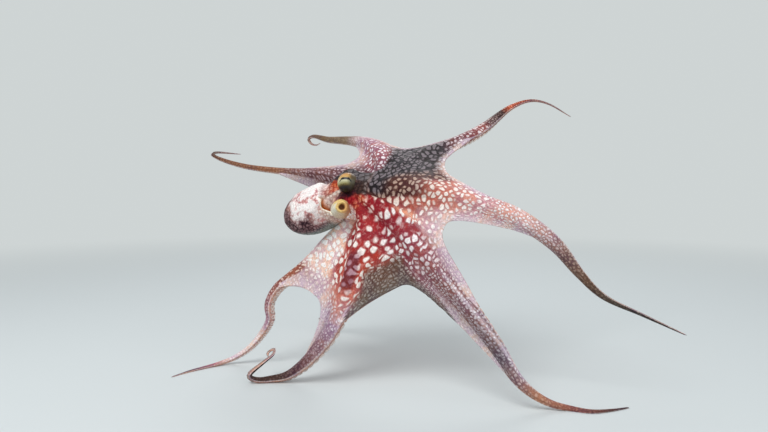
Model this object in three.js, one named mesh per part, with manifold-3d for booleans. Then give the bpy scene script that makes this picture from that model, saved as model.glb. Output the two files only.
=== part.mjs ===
// A common octopus, life size, striding over level ground on four of its eight arms, as a still model.
// The mouth is the hub: the eight arms leave a ring round it, with a web between each pair, and the head
// and the mantle hang on the other side of it. The mantle opens round the neck, and the funnel leaves
// that opening on the right side. Millimetres, +Z up, the animal's right side towards -Y.
import * as THREE from 'three';
import { mergeVertices } from 'three/addons/utils/BufferGeometryUtils.js';
import Module from 'manifold-3d';

const wasm = await Module();
wasm.setup();

const v = (x, y, z) => new THREE.Vector3(x, y, z);

// Body frame: TAILWARD runs from the mouth to the back of the head, DORSAL up out of the crown of the head.
const MOUTH = v(-14, 3, 231);
const TAILWARD = v(-0.95, 0.15, 0.25).normalize();
const DORSAL = v(0.25, 0.1, 0.96).projectOnPlane(TAILWARD).normalize();
const RIGHT = DORSAL.clone().cross(TAILWARD);

// Clearance between neighbouring pieces, and the level of the ground.
const GAP = 0.3;
const GROUND = 0;

// Arms.
const CROWN_RADIUS = 25; // from the mouth's axis to the start of each arm
const WIDTH_STATIONS = [0, 0.25, 0.5, 0.75, 1]; // shares of an arm's length
const TIP_HALF_WIDTH = 0.7;
const ABORAL_HEIGHT = 0.9; // of the half width, on the outer side
const ORAL_HEIGHT = 0.7; // of the half width, on the flatter sucker side
const ARM_CUTS = [0, 0.36, 0.68, 1]; // where an arm is divided into its root, middle and end lengths
const LENGTH_NAMES = ['root', 'middle', 'end'];
const LENGTH_STEPS = [8, 7, 14];
const LENGTH_SIDES = [8, 8, 6];

// Each arm in order round the mouth, from the right dorsal one down the right side and up the left.
// widths are half widths at all the stations but the tip. twist is how far the sucker side has turned
// about the arm, in degrees, at its quarter, its middle and its tip. route holds the points that the
// centreline passes after its root.
const ARMS = [
  {
    name: 'arm_r1',
    widths: [10, 11, 10, 3.4],
    twist: [40, 50, 55],
    route: [[20, 5, 274], [55, 25, 286], [100, 50, 304], [140, 82, 325], [190, 115, 363], [225, 136, 376],
      [255, 150, 373], [293, 160, 354]],
  },
  {
    name: 'arm_r2',
    widths: [10, 11, 11, 4.4],
    twist: [10, 45, 75],
    route: [[11, -45, 244], [55, -60, 240], [105, -70, 227], [160, -76, 206], [200, -79, 177],
      [229, -80, 142], [254, -82, 117], [300, -84, 95], [350, -86, 72]],
  },
  {
    name: 'arm_r3',
    widths: [10, 12.5, 10.5, 4.6],
    twist: [-15, -15, -130],
    route: [[15, -45, 198], [82, -92, 128], [121, -112, 75], [145, -122, 34], [162, -125, 18],
      [183, -125, 6.5], [203, -127, 2.2], [222, -134, 1.5], [246, -129, 1], [270, -119, 0.4]],
  },
  {
    name: 'arm_r4',
    widths: [10, 12.5, 11.5, 5],
    twist: [-40, -30, 0],
    route: [[-28, -25, 183], [-45, -40, 117], [-62, -41, 68], [-88, -35, 33], [-105, -32, 17],
      [-122, -30, 6.5], [-140, -31, 3.5], [-158, -34, 3.2], [-168, -36, 9], [-150, -28, 25],
      [-140, -17, 32], [-142, -8, 36], [-150, -10, 31], [-147, -15, 27]],
  },
  {
    name: 'arm_l4',
    widths: [10, 10, 8.5, 4.6],
    twist: [5, -5, -5],
    route: [[-51, 22, 183], [-107, 42, 136], [-148, 46, 101], [-157, 46, 82], [-156, 46, 61],
      [-180, 48, 26], [-204, 48, 9], [-224, 40, 2.6], [-257, 9, 1], [-272, -12, 0.4]],
  },
  {
    name: 'arm_l3',
    widths: [10, 10.5, 8, 4.2],
    twist: [20, 50, 75],
    route: [[-35, 90, 190], [-60, 150, 130], [-85, 200, 60], [-98, 228, 16], [-104, 256, 2.6],
      [-110, 300, 1.3], [-122, 340, 0.4]],
  },
  {
    name: 'arm_l2',
    widths: [10, 9, 6.4, 4.2],
    twist: [30, 50, 60],
    route: [[-31, 60, 250], [-72, 88, 261], [-165, 135, 269], [-215, 150, 276], [-255, 166, 287],
      [-273, 178, 295], [-273, 190, 300], [-237, 215, 299]],
  },
  {
    name: 'arm_l1',
    widths: [10, 10, 8.5, 6],
    twist: [30, 45, 70],
    route: [[-5, 40, 281], [-14, 80, 300], [-36, 130, 312], [-64, 185, 319], [-95, 240, 325],
      [-128, 290, 335], [-136, 300, 331], [-131, 300, 323], [-121, 294, 320], [-113, 288, 324]],
  },
];

// Webs, each between an arm and the next one. reach is how far along each of the two arms the web is
// attached, notch how far from the root its free edge comes in halfway between them, and sag how far it
// hollows inwards.
const WEB_THICKNESS = 2.2; // at the mouth
const WEB_EDGE_THICKNESS = 1.2;
const WEB_SET_ASIDE = 0.72; // of the arm's half width, from its centreline to where the web starts
const WEB_SET_OUT = 0.2; // and towards the arm's outer side
const NOTCH_SHARPNESS = 3;
const WEB_ROWS = 6;
const WEB_COLUMNS = 6;
const WEBS = [
  { name: 'web_r1_r2', reach: [150, 195], notch: 103, sag: 0 },
  { name: 'web_r2_r3', reach: [220, 190], notch: 115, sag: 0 },
  { name: 'web_r3_r4', reach: [265, 165], notch: 122, sag: 14 },
  { name: 'web_r4_l4', reach: [225, 155], notch: 122, sag: 4 },
  { name: 'web_l4_l3', reach: [150, 150], notch: 95, sag: 5 },
  { name: 'web_l3_l2', reach: [150, 170], notch: 95, sag: 5 },
  { name: 'web_l2_l1', reach: [150, 140], notch: 96, sag: 0 },
  { name: 'web_l1_r1', reach: [140, 200], notch: 86, sag: 0 },
];

// Head, with its two eye turrets. Sections run along the body axis, as distance from the mouth, half
// width and half height.
const HEAD_SECTIONS = [[-9, 9, 9], [-5, 18, 18], [2, 23.5, 23.5], [12, 24, 24], [22, 22, 23], [33, 21, 22.5],
  [44, 20.5, 21], [54, 20, 20], [62, 19.5, 19.5]];
const HEAD_SIDES = 16;
const EYE_BACK = 34; // from the mouth, along the body axis
const EYE_UP = 22; // angle of each eye above the head's own side, in degrees
const TURRET_OUT = 11;
const TURRET_RADIUS = 14.5;
const EYEBALL_OUT = 15.5;
const EYEBALL_RADIUS = 11;

// Mantle: its own axis bends down from the head. Sections as for the head, from its open rim.
const BODY_ROUTE = [[-47, 8, 240], [-64, 12, 229], [-85, 24, 216], [-112, 40, 205], [-141, 57, 195]];
const MANTLE_START = 57; // from the mouth, along the body axis
const MANTLE_SECTIONS = [[0, 29, 27.5], [10, 31, 30], [24, 32.5, 31.5], [38, 32.5, 31.5], [52, 30.5, 29.5],
  [65, 26, 25], [75, 19, 18.5], [82, 11, 10.5], [85.5, 4, 4]];
const MANTLE_SIDES = 16;
const RIM_DEPTH = 9; // of the recess that takes the neck
const RIM_INNER = 24.5;
const RECESS_RADIUS = 21.5;

// Funnel: a tapering tube with an open end, out of the mantle's rim.
const FUNNEL_BASE = v(-59, -3, 214.5);
const FUNNEL_TIP = v(-52, -37, 218);
const FUNNEL_WALL = [[12.5, 0], [12, 9], [10.2, 20], [8.6, 29], [8.1, 32], [6.4, 33]]; // radius and
const FUNNEL_BORE = [[5, 31], [4.2, 24], [0, 23]]; // distance from the base, up the wall and down the bore
const FUNNEL_SIDES = 14;

// ---- Shapes ----

const FRAME_STEPS = 160;

// A centreline with a side and an up direction at every point, carried along without turning about the
// line, apart from the twist that is asked for.
function makePath(points, firstUp, twist = [0, 0, 0]) {
  const curve = new THREE.CatmullRomCurve3(points);
  curve.arcLengthDivisions = 600;
  const frames = [];
  let up = firstUp.clone();
  let last = curve.getTangentAt(0);
  for (let i = 0; i <= FRAME_STEPS; i++) {
    const t = i / FRAME_STEPS;
    const tangent = curve.getTangentAt(t);
    up.applyQuaternion(new THREE.Quaternion().setFromUnitVectors(last, tangent));
    up.projectOnPlane(tangent).normalize();
    last = tangent;
    const turned = up.clone().applyAxisAngle(tangent, THREE.MathUtils.degToRad(twistAt(twist, t)));
    frames.push({ at: curve.getPointAt(t), up: turned, side: tangent.clone().cross(turned) });
  }
  return { frames, length: curve.getLength() };
}

function twistAt([quarter, middle, tip], t) {
  if (t < 0.25) return quarter * t * 4;
  if (t < 0.5) return quarter + (middle - quarter) * (t - 0.25) * 4;
  return middle + (tip - middle) * (t - 0.5) * 2;
}

function frameAt(path, t) {
  const x = THREE.MathUtils.clamp(t, 0, 1) * FRAME_STEPS;
  const i = Math.min(Math.floor(x), FRAME_STEPS - 1);
  const [a, b] = [path.frames[i], path.frames[i + 1]];
  const mix = (key) => a[key].clone().lerp(b[key], x - i);
  return { at: mix('at'), up: mix('up').normalize(), side: mix('side').normalize() };
}

// One closed ring of points round a path: half its width to each side, and its heights above and below.
function ring(path, t, [width, above, below], sides) {
  const { at, up, side } = frameAt(path, t);
  return Array.from({ length: sides }, (_, i) => {
    const angle = (2 * Math.PI * i) / sides;
    const height = Math.sin(angle) > 0 ? above : below;
    return at.clone()
      .addScaledVector(side, width * Math.cos(angle))
      .addScaledVector(up, height * Math.sin(angle));
  });
}

// A closed skin over a row of rings, with a fan over each end.
function loft(rings) {
  const sides = rings[0].length;
  const centre = (points) => points.reduce((sum, p) => sum.add(p), v(0, 0, 0)).divideScalar(sides);
  const points = [...rings.flat(), centre(rings[0]), centre(rings.at(-1))];
  const index = [];
  for (let j = 0; j < rings.length - 1; j++) {
    for (let i = 0; i < sides; i++) {
      const [a, b] = [j * sides + i, j * sides + ((i + 1) % sides)];
      index.push(a, a + sides, b, b, a + sides, b + sides);
    }
  }
  const [start, end, tail] = [points.length - 2, points.length - 1, (rings.length - 1) * sides];
  for (let i = 0; i < sides; i++) {
    const next = (i + 1) % sides;
    index.push(start, i, next);
    index.push(end, tail + next, tail + i);
  }
  return solid(new THREE.BufferGeometry().setFromPoints(points).setIndex(index));
}

// A closed sheet over a grid of rows and columns of points, of the half thickness that each row has.
function sheet(grid, halfThickness) {
  const [rows, columns] = [grid.length, grid[0].length];
  const at = (j, i) => grid[THREE.MathUtils.clamp(j, 0, rows - 1)][THREE.MathUtils.clamp(i, 0, columns - 1)];
  const normal = (j, i) => at(j + 1, i).clone().sub(at(j - 1, i))
    .cross(at(j, i + 1).clone().sub(at(j, i - 1))).normalize();
  const offset = (sign) => grid.flatMap((row, j) =>
    row.map((p, i) => p.clone().addScaledVector(normal(j, i), sign * halfThickness(j / (rows - 1)))));
  const points = [...offset(1), ...offset(-1)];
  const lower = rows * columns;
  const index = [];
  const quad = (a, b, c, d) => index.push(a, b, c, a, c, d);
  for (let j = 0; j < rows - 1; j++) {
    for (let i = 0; i < columns - 1; i++) {
      const a = j * columns + i;
      quad(a, a + columns, a + columns + 1, a + 1);
      quad(lower + a, lower + a + 1, lower + a + columns + 1, lower + a + columns);
    }
    const [left, right] = [j * columns, j * columns + columns - 1];
    quad(left, lower + left, lower + left + columns, left + columns);
    quad(right, right + columns, lower + right + columns, lower + right);
  }
  for (let i = 0; i < columns - 1; i++) {
    const far = (rows - 1) * columns + i;
    quad(i, i + 1, lower + i + 1, lower + i);
    quad(far, lower + far, lower + far + 1, far + 1);
  }
  return solid(new THREE.BufferGeometry().setFromPoints(points).setIndex(index));
}

// Between a three.js geometry and a manifold-3d solid.
function solid(geometry) {
  for (const name of ['normal', 'uv']) geometry.deleteAttribute(name);
  const merged = mergeVertices(geometry, 1e-3);
  return new wasm.Manifold(new wasm.Mesh({
    numProp: 3,
    vertProperties: new Float32Array(merged.attributes.position.array),
    triVerts: new Uint32Array(merged.index.array),
  }));
}

function geometryOf(manifold) {
  const { vertProperties, triVerts } = manifold.getMesh();
  return new THREE.BufferGeometry()
    .setAttribute('position', new THREE.BufferAttribute(vertProperties, 3))
    .setIndex(new THREE.BufferAttribute(triVerts, 1));
}

function ball(centre, radius, segments = 16) {
  return solid(new THREE.SphereGeometry(radius, segments, segments / 2)
    .rotateX(Math.PI / 2).translate(...centre.toArray()));
}

// ---- Arms ----

const bearing = (k) => THREE.MathUtils.degToRad(22.5 + 45 * k);

function armRoot(k) {
  return MOUTH.clone()
    .addScaledVector(DORSAL, CROWN_RADIUS * Math.cos(bearing(k)))
    .addScaledVector(RIGHT, CROWN_RADIUS * Math.sin(bearing(k)));
}

const armPaths = ARMS.map((arm, k) =>
  makePath([armRoot(k), ...arm.route.map((p) => v(...p))], TAILWARD, arm.twist));

const armWidths = ARMS.map((arm) =>
  new THREE.CubicInterpolant(WIDTH_STATIONS, [...arm.widths, TIP_HALF_WIDTH], 1, new Float32Array(1)));

function halfWidth(k, t) {
  return Math.max(TIP_HALF_WIDTH, armWidths[k].evaluate(THREE.MathUtils.clamp(t, 0, 1))[0]);
}

function armSection(k, t, grow) {
  const width = halfWidth(k, t);
  return [width + grow, ABORAL_HEIGHT * width + grow, ORAL_HEIGHT * width + grow];
}

function armLength(k, from, to, steps, sides, grow = 0) {
  const stations = Array.from({ length: steps + 1 }, (_, i) => from + ((to - from) * i) / steps);
  return loft(stations.map((t) => ring(armPaths[k], t, armSection(k, t, grow), sides)));
}

// ---- Webs ----

// A point of the web between arm k and the next one: across from one to the other, and out from 0 at the
// mouth to 1 at the free edge.
function webPoint(k, across, out) {
  const { reach, notch, sag } = WEBS[k];
  const next = (k + 1) % ARMS.length;
  const side = reach[across < 0.5 ? 0 : 1];
  const along = out * (notch + (side - notch) * Math.abs(2 * across - 1) ** NOTCH_SHARPNESS);
  const flank = (arm, sign) => {
    const t = along / armPaths[arm].length;
    const { at, up, side } = frameAt(armPaths[arm], t);
    const width = halfWidth(arm, t);
    return at.addScaledVector(side, sign * WEB_SET_ASIDE * width).addScaledVector(up, WEB_SET_OUT * width);
  };
  const point = flank(k, 1).lerp(flank(next, -1), across);
  const inward = frameAt(armPaths[k], along / armPaths[k].length).up
    .lerp(frameAt(armPaths[next], along / armPaths[next].length).up, across).normalize();
  return point.addScaledVector(inward, -sag * Math.sin(Math.PI * across) * Math.sin(Math.PI * 0.5 * out));
}

// The columns crowd towards the two arms, where the free edge bends most.
function webSheet(k) {
  const across = (i) => 0.5 - 0.5 * Math.cos((Math.PI * i) / WEB_COLUMNS);
  const grid = Array.from({ length: WEB_ROWS + 1 }, (_, j) =>
    Array.from({ length: WEB_COLUMNS + 1 }, (_, i) => webPoint(k, across(i), j / WEB_ROWS)));
  return sheet(grid, (out) => 0.5 * THREE.MathUtils.lerp(WEB_THICKNESS, WEB_EDGE_THICKNESS, out));
}

// ---- Head, eyes, mantle and funnel ----

const bodyPath = makePath(
  [MOUTH.clone().addScaledVector(TAILWARD, -9), MOUTH, ...BODY_ROUTE.map((p) => v(...p))], DORSAL);
const bodyAt = (distance) => (distance + 9) / bodyPath.length;

function bodyRings(start, sections, sides, grow) {
  return sections.map(([distance, width, height]) =>
    ring(bodyPath, bodyAt(start + distance), [width + grow, height + grow, height + grow], sides));
}

function eyeDirection(side) {
  const { up, side: across } = frameAt(bodyPath, bodyAt(EYE_BACK));
  const tilt = THREE.MathUtils.degToRad(EYE_UP);
  return across.multiplyScalar(side * Math.cos(tilt)).addScaledVector(up, Math.sin(tilt));
}

function eyePoint(side, out) {
  return frameAt(bodyPath, bodyAt(EYE_BACK)).at.addScaledVector(eyeDirection(side), out);
}

const SIDES = [['right', -1], ['left', 1]];

function headSolid(grow = 0) {
  const turrets = SIDES.map(([, side]) => ball(eyePoint(side, TURRET_OUT), TURRET_RADIUS + grow, 12));
  return turrets.reduce((head, turret) => head.add(turret),
    loft(bodyRings(0, HEAD_SECTIONS, HEAD_SIDES, grow)));
}

function mantleSolid() {
  const path = (distance, radius) =>
    ring(bodyPath, bodyAt(MANTLE_START + distance), [radius, radius, radius], MANTLE_SIDES);
  const rim = [path(RIM_DEPTH, RECESS_RADIUS), path(1.5, RIM_INNER)];
  return loft([...rim, ...bodyRings(MANTLE_START, MANTLE_SECTIONS, MANTLE_SIDES, 0)]);
}

function funnelLathe(profile) {
  const along = FUNNEL_TIP.clone().sub(FUNNEL_BASE).normalize();
  return solid(new THREE.LatheGeometry(profile.map((point) => new THREE.Vector2(...point)), FUNNEL_SIDES)
    .applyQuaternion(new THREE.Quaternion().setFromUnitVectors(v(0, 1, 0), along))
    .translate(...FUNNEL_BASE.toArray()));
}

const funnelSolid = () => funnelLathe([[0, 0], ...FUNNEL_WALL, ...FUNNEL_BORE]);

function funnelRoomSolid() {
  const wall = FUNNEL_WALL.map(([radius, along]) => [radius + GAP, along]);
  const end = FUNNEL_WALL.at(-1)[1] + GAP;
  return funnelLathe([[0, -GAP], [wall[0][0], -GAP], ...wall, [wall.at(-1)[0], end], [0, end]]);
}

// ---- Parting the body into pieces that clear each other ----

const ground = solid(new THREE.BoxGeometry(2000, 2000, 100).translate(0, 0, GROUND - 50));
const funnelRoom = funnelRoomSolid();
const pieces = [];

// Keeps a piece without the scraps that its cuts part from it.
function keep(name, manifold, colour) {
  const body = manifold.decompose().reduce((a, b) => (a.volume() > b.volume() ? a : b));
  pieces.push({ name, manifold: body, colour });
}

keep('mantle', mantleSolid().subtract(headSolid(GAP)).subtract(funnelRoom), 0xd9b0a8);
keep('funnel', funnelSolid(), 0xe3cf9c);

const eyeRooms = SIDES.map(([, side]) => ball(eyePoint(side, EYEBALL_OUT), EYEBALL_RADIUS + GAP));
keep('head', eyeRooms.reduce((head, room) => head.subtract(room), headSolid().subtract(funnelRoom)), 0xa8433a);
for (const [name, side] of SIDES) keep(`eye_${name}`, ball(eyePoint(side, EYEBALL_OUT), EYEBALL_RADIUS), 0xb08a3a);

const bodyRoom = headSolid(GAP);
const armSolids = (k, grow = 0) => LENGTH_NAMES.map((_, n) => {
  const start = ARM_CUTS[n] + (n > 0 && !grow ? GAP / armPaths[k].length : 0);
  return armLength(k, start, ARM_CUTS[n + 1], LENGTH_STEPS[n], LENGTH_SIDES[n], grow);
});
const armRooms = ARMS.map((_, k) => armSolids(k, GAP));
ARMS.forEach((arm, k) => armSolids(k).forEach((length, n) => {
  let piece = length.subtract(ground);
  if (n === 0) {
    piece = piece.subtract(bodyRoom).subtract(funnelRoom);
    for (const [room] of armRooms.slice(0, k)) piece = piece.subtract(room);
  }
  keep(`${arm.name}_${LENGTH_NAMES[n]}`, piece, 0xb5564a);
}));

WEBS.forEach((web, k) => {
  const rooms = [bodyRoom, funnelRoom, ...armRooms[k], ...armRooms[(k + 1) % ARMS.length]];
  keep(web.name, rooms.reduce((piece, room) => piece.subtract(room), webSheet(k)), 0xc98478);
});

const octopus = new THREE.Group();
for (const { name, manifold, colour } of pieces) {
  const material = new THREE.MeshStandardMaterial({ color: colour, roughness: 0.45, metalness: 0 });
  const mesh = new THREE.Mesh(geometryOf(manifold), material);
  mesh.name = name;
  octopus.add(mesh);
}

// The origin is the middle of the whole animal's box, on the ground.
const box = new THREE.Box3().setFromObject(octopus);
const middle = box.getCenter(v(0, 0, 0));
octopus.position.set(-middle.x, -middle.y, -box.min.z);

export default octopus;
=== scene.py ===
# A common octopus, life size, as a museum's still model: one skin over its head, mantle, funnel, arms and
# webs, with the suckers set along the arms and two eyes, standing on a plain pale floor.
import math

import bpy
import numpy as np
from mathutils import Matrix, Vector, noise


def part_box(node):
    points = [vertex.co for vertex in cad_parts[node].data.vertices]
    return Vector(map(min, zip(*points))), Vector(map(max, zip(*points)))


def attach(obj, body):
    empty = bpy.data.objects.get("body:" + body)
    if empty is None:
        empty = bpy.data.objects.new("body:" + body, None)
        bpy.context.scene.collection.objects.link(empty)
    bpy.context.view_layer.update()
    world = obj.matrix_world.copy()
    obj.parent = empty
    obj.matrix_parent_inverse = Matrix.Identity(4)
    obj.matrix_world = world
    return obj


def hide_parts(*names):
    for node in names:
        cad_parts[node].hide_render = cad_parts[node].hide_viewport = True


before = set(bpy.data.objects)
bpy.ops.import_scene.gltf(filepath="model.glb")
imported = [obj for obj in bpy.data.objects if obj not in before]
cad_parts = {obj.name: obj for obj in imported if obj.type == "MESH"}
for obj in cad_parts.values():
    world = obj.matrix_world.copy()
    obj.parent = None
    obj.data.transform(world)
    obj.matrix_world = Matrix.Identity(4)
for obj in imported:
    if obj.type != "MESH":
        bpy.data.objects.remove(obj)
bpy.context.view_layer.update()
for selected in bpy.context.selected_objects:
    selected.select_set(False)

# ---- Camera, floor and lamps ----
# The model stands on a wide pale floor that runs out of sight, in even studio light: one broad soft lamp
# high on the left, a weaker one on the right, a third behind for the upper edges, and a pale room.
CAMERA_AT = (-0.0365, -0.8781, 0.240)
CAMERA_LENS = 28
CAMERA_SHIFT = -0.034
LAMPS = [  # name, place, size, watts
    ("key", (-0.7, -1.1, 1.7), 1.1, 24),
    ("fill", (1.3, -1.3, 0.9), 1.4, 7),
    ("back", (0.3, 1.3, 1.6), 1.0, 9)]
LAMP_AIM = Vector((0, 0, 0.2))
ROOM_COLOUR = (0.9, 0.95, 1, 1)
ROOM_LIGHT = 0.5
FLOOR_SIZE = 40
FLOOR_COLOUR = (0.62, 0.66, 0.66)
FLOOR_FADES = (0.5, 2.5)  # distances over which the floor turns into the plain background

scene = bpy.context.scene
scene.view_settings.view_transform = "Standard"
bpy.ops.object.camera_add(location=CAMERA_AT, rotation=(math.pi / 2, 0, 0))
scene.camera = bpy.context.object
scene.camera.data.lens = CAMERA_LENS
scene.camera.data.sensor_width = 36
scene.camera.data.shift_y = CAMERA_SHIFT
scene.camera.data.clip_end = 60

for name, place, size, watts in LAMPS:
    bpy.ops.object.light_add(type="AREA", location=place)
    lamp = bpy.context.object
    lamp.name = f"lamp_{name}"
    lamp.rotation_euler = (LAMP_AIM - Vector(place)).to_track_quat("-Z", "Y").to_euler()
    lamp.data.size = size
    lamp.data.energy = watts

room = bpy.data.worlds.new("room")
scene.world = room
room.use_nodes = True


def new_material(name):
    material = bpy.data.materials.new(name)
    material.use_nodes = True
    return material


def wire(owner, kind, inputs=(), **options):
    """Adds a node to a material or the room, sets its options, and fills its inputs with values or with
    other nodes' outputs."""
    node = owner.node_tree.nodes.new(kind)
    for name, value in options.items():
        setattr(node, name, value)
    for name, value in dict(inputs).items():
        if isinstance(value, bpy.types.NodeSocket):
            owner.node_tree.links.new(value, node.inputs[name])
        else:
            node.inputs[name].default_value = value
    return node


def reckon(owner, operation, *values):
    return wire(owner, "ShaderNodeMath", enumerate(values), operation=operation).outputs[0]


def rise(owner, value, low, high, bottom=0.0, top=1.0):
    """Eases a value from bottom to top as it goes from low to high."""
    return wire(owner, "ShaderNodeMapRange", enumerate((value, low, high, bottom, top)),
                interpolation_type="SMOOTHSTEP").outputs[0]


def seen_directly(owner):
    """A node output that is 1 for what the camera sees itself, in a mirror or through glass."""
    rays = wire(owner, "ShaderNodeLightPath").outputs
    seen = reckon(owner, "MAXIMUM", rays["Is Camera Ray"], rays["Is Glossy Ray"])
    return reckon(owner, "MAXIMUM", seen, rays["Is Transmission Ray"])


def pale_where(owner, share, shader, output):
    """Shows the plain pale background colour instead of a shader, by a share."""
    pale = wire(owner, "ShaderNodeEmission", {"Color": (*FLOOR_COLOUR, 1)}).outputs[0]
    chosen = wire(owner, "ShaderNodeMixShader", {0: share, 1: shader, 2: pale}).outputs[0]
    owner.node_tree.links.new(chosen, owner.node_tree.nodes[output].inputs[0])


background = room.node_tree.nodes["Background"]
background.inputs["Color"].default_value = ROOM_COLOUR
background.inputs["Strength"].default_value = ROOM_LIGHT
pale_where(room, seen_directly(room), background.outputs[0], "World Output")

bpy.ops.mesh.primitive_plane_add(size=FLOOR_SIZE)
floor = bpy.context.object
floor.name = "floor"
floor_paint = new_material("floor_paint")
surface = floor_paint.node_tree.nodes["Principled BSDF"]
surface.inputs["Base Color"].default_value = (*FLOOR_COLOUR, 1)
surface.inputs["Roughness"].default_value = 0.9
floor_at = wire(floor_paint, "ShaderNodeTexCoord").outputs["Object"]
far_out = wire(floor_paint, "ShaderNodeVectorMath", {0: floor_at}, operation="LENGTH").outputs["Value"]
far_out = rise(floor_paint, far_out, *FLOOR_FADES)
pale_share = reckon(floor_paint, "MULTIPLY", far_out, seen_directly(floor_paint))
pale_where(floor_paint, pale_share, surface.outputs[0], "Material Output")
floor.data.materials.append(floor_paint)

# ---- Lines of the arms and the body ----
# The animal is built on eight arm lines round the mouth and one body line behind it. Each line carries
# an up direction, away from the suckers on the arms and towards the crown of the head on the body.
MOUTH = np.array([-14, 3, 231.0])
CROWN_RADIUS = 25
BODY_LEAD = 9  # how far the body line starts in front of the mouth
BODY_ROUTE = [[-47, 8, 240], [-64, 12, 229], [-85, 24, 216], [-112, 40, 205], [-141, 57, 195]]
LINE_STEPS = 30
TIP_HALF_WIDTH = 0.7
ABORAL_HEIGHT = 0.9
ORAL_HEIGHT = 0.7
FIRST_BEARING = 22.5  # of the arms round the mouth, in degrees from the crown
ARM_SPACING = 45
TWIST_AT = [0, 0.25, 0.5, 1]  # shares of a line at which it is turned by its twist, from none at its root
ARMS = {  # half widths at even shares of the length, twist in degrees, and route from the root to the tip
    "r1": ([10, 11, 10, 3.4], [40, 50, 55],
           [[20, 5, 274], [55, 25, 286], [100, 50, 304], [140, 82, 325], [190, 115, 363], [225, 136, 376],
            [255, 150, 373], [293, 160, 354]]),
    "r2": ([10, 11, 11, 4.4], [10, 45, 75],
           [[11, -45, 244], [55, -60, 240], [105, -70, 227], [160, -76, 206], [200, -79, 177],
            [229, -80, 142], [254, -82, 117], [300, -84, 95], [350, -86, 72]]),
    "r3": ([10, 12.5, 10.5, 4.6], [-15, -15, -130],
           [[15, -45, 198], [82, -92, 128], [121, -112, 75], [145, -122, 34], [162, -125, 18],
            [183, -125, 6.5], [203, -127, 2.2], [222, -134, 1.5], [246, -129, 1], [270, -119, 0.4]]),
    "r4": ([10, 12.5, 11.5, 5], [-40, -30, 0],
           [[-28, -25, 183], [-45, -40, 117], [-62, -41, 68], [-88, -35, 33], [-105, -32, 17],
            [-122, -30, 6.5], [-140, -31, 3.5], [-158, -34, 3.2], [-168, -36, 9], [-150, -28, 25],
            [-140, -17, 32], [-142, -8, 36], [-150, -10, 31], [-147, -15, 27]]),
    "l4": ([13.5, 10.5, 8.5, 4.6], [5, -5, -5],
           [[-56, 21, 186], [-107, 42, 136], [-148, 46, 101], [-157, 46, 82], [-156, 46, 61],
            [-180, 48, 26], [-204, 48, 9], [-224, 40, 2.6], [-257, 9, 1], [-272, -12, 0.4]]),
    "l3": ([10, 10.5, 8, 4.2], [20, 50, 75],
           [[-35, 90, 190], [-60, 150, 130], [-85, 200, 60], [-98, 228, 16], [-104, 256, 2.6],
            [-110, 300, 1.3], [-122, 340, 0.4]]),
    "l2": ([10, 9, 6.4, 4.2], [30, 50, 60],
           [[-31, 60, 250], [-72, 88, 261], [-165, 135, 269], [-215, 150, 276], [-255, 166, 287],
            [-273, 178, 295], [-273, 190, 300], [-237, 215, 299]]),
    "l1": ([10, 10, 8.5, 6], [30, 45, 70],
           [[-5, 40, 281], [-14, 80, 300], [-36, 130, 312], [-64, 185, 319], [-95, 240, 325],
            [-128, 290, 335], [-136, 300, 331], [-131, 300, 323], [-121, 294, 320], [-113, 288, 324]]),
}


def unit(vectors):
    return vectors / np.linalg.norm(vectors, axis=-1, keepdims=True)


def dot(a, b):
    return np.sum(a * b, axis=-1, keepdims=True)


def mix(a, b, share):
    return a + (b - a) * share


def ease(low, high, x):
    share = np.clip((x - low) / (high - low), 0, 1)
    return share * share * (3 - 2 * share)


def bell(x, middle, width):
    return np.exp(-(((x - middle) / width) ** 2))


def spline(points, even=False):
    """Samples of a smooth curve through the points, LINE_STEPS to a span."""
    inner = np.array(points, float)
    knots = np.vstack([2 * inner[0] - inner[1], inner, 2 * inner[-1] - inner[-2]])
    share = (np.arange(LINE_STEPS) / LINE_STEPS)[:, None]
    samples = []
    for a, b, c, d in zip(knots, knots[1:], knots[2:], knots[3:]):
        spans = [1 if even else np.sum((q - p) ** 2) ** 0.25 for p, q in ((a, b), (b, c), (c, d))]
        before, here, after = spans
        leave = here * ((b - a) / before - (c - a) / (before + here) + (c - b) / here)
        arrive = here * ((c - b) / here - (d - b) / (here + after) + (d - c) / after)
        samples.append(b + leave * share + (3 * (c - b) - 2 * leave - arrive) * share**2
                       + (2 * (b - c) + leave + arrive) * share**3)
    return np.vstack([*samples, inner[-1:]])


def carry(points, up, twist=(0, 0, 0)):
    """A line through the points, with up and side carried along it and turned by the twist."""
    at = spline(points)
    along = np.concatenate([[0], np.cumsum(np.linalg.norm(np.diff(at, axis=0), axis=1))])
    tangents = unit(np.gradient(at, along, axis=0))
    ups = [Vector(up)]
    for before, after in zip(tangents, tangents[1:]):
        turned = ups[-1].copy()
        turned.rotate(Vector(before).rotation_difference(Vector(after)))
        ups.append(turned)
    ups = np.array(ups)
    ups = unit(ups - tangents * dot(ups, tangents))
    turn = np.radians(np.interp(along / along[-1], TWIST_AT, [0, *twist]))[:, None]
    ups = ups * np.cos(turn) + np.cross(tangents, ups) * np.sin(turn)
    return {"along": along, "length": along[-1], "at": at, "up": ups, "side": np.cross(tangents, ups)}


def station(line, along):
    """Place, up and side at distances along a line."""
    place, up, side = [
        np.stack([np.interp(along, line["along"], line[key][:, n]) for n in range(3)], -1)
        for key in ("at", "up", "side")]
    return place, unit(up), unit(side)


TAILWARD = unit(np.array([-0.95, 0.15, 0.25]))
DORSAL = np.array([0.25, 0.1, 0.96])
DORSAL = unit(DORSAL - TAILWARD * dot(DORSAL, TAILWARD))
RIGHT = np.cross(DORSAL, TAILWARD)
NAMES = list(ARMS)
BEARINGS = np.radians(FIRST_BEARING + ARM_SPACING * np.arange(len(ARMS)))

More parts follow.
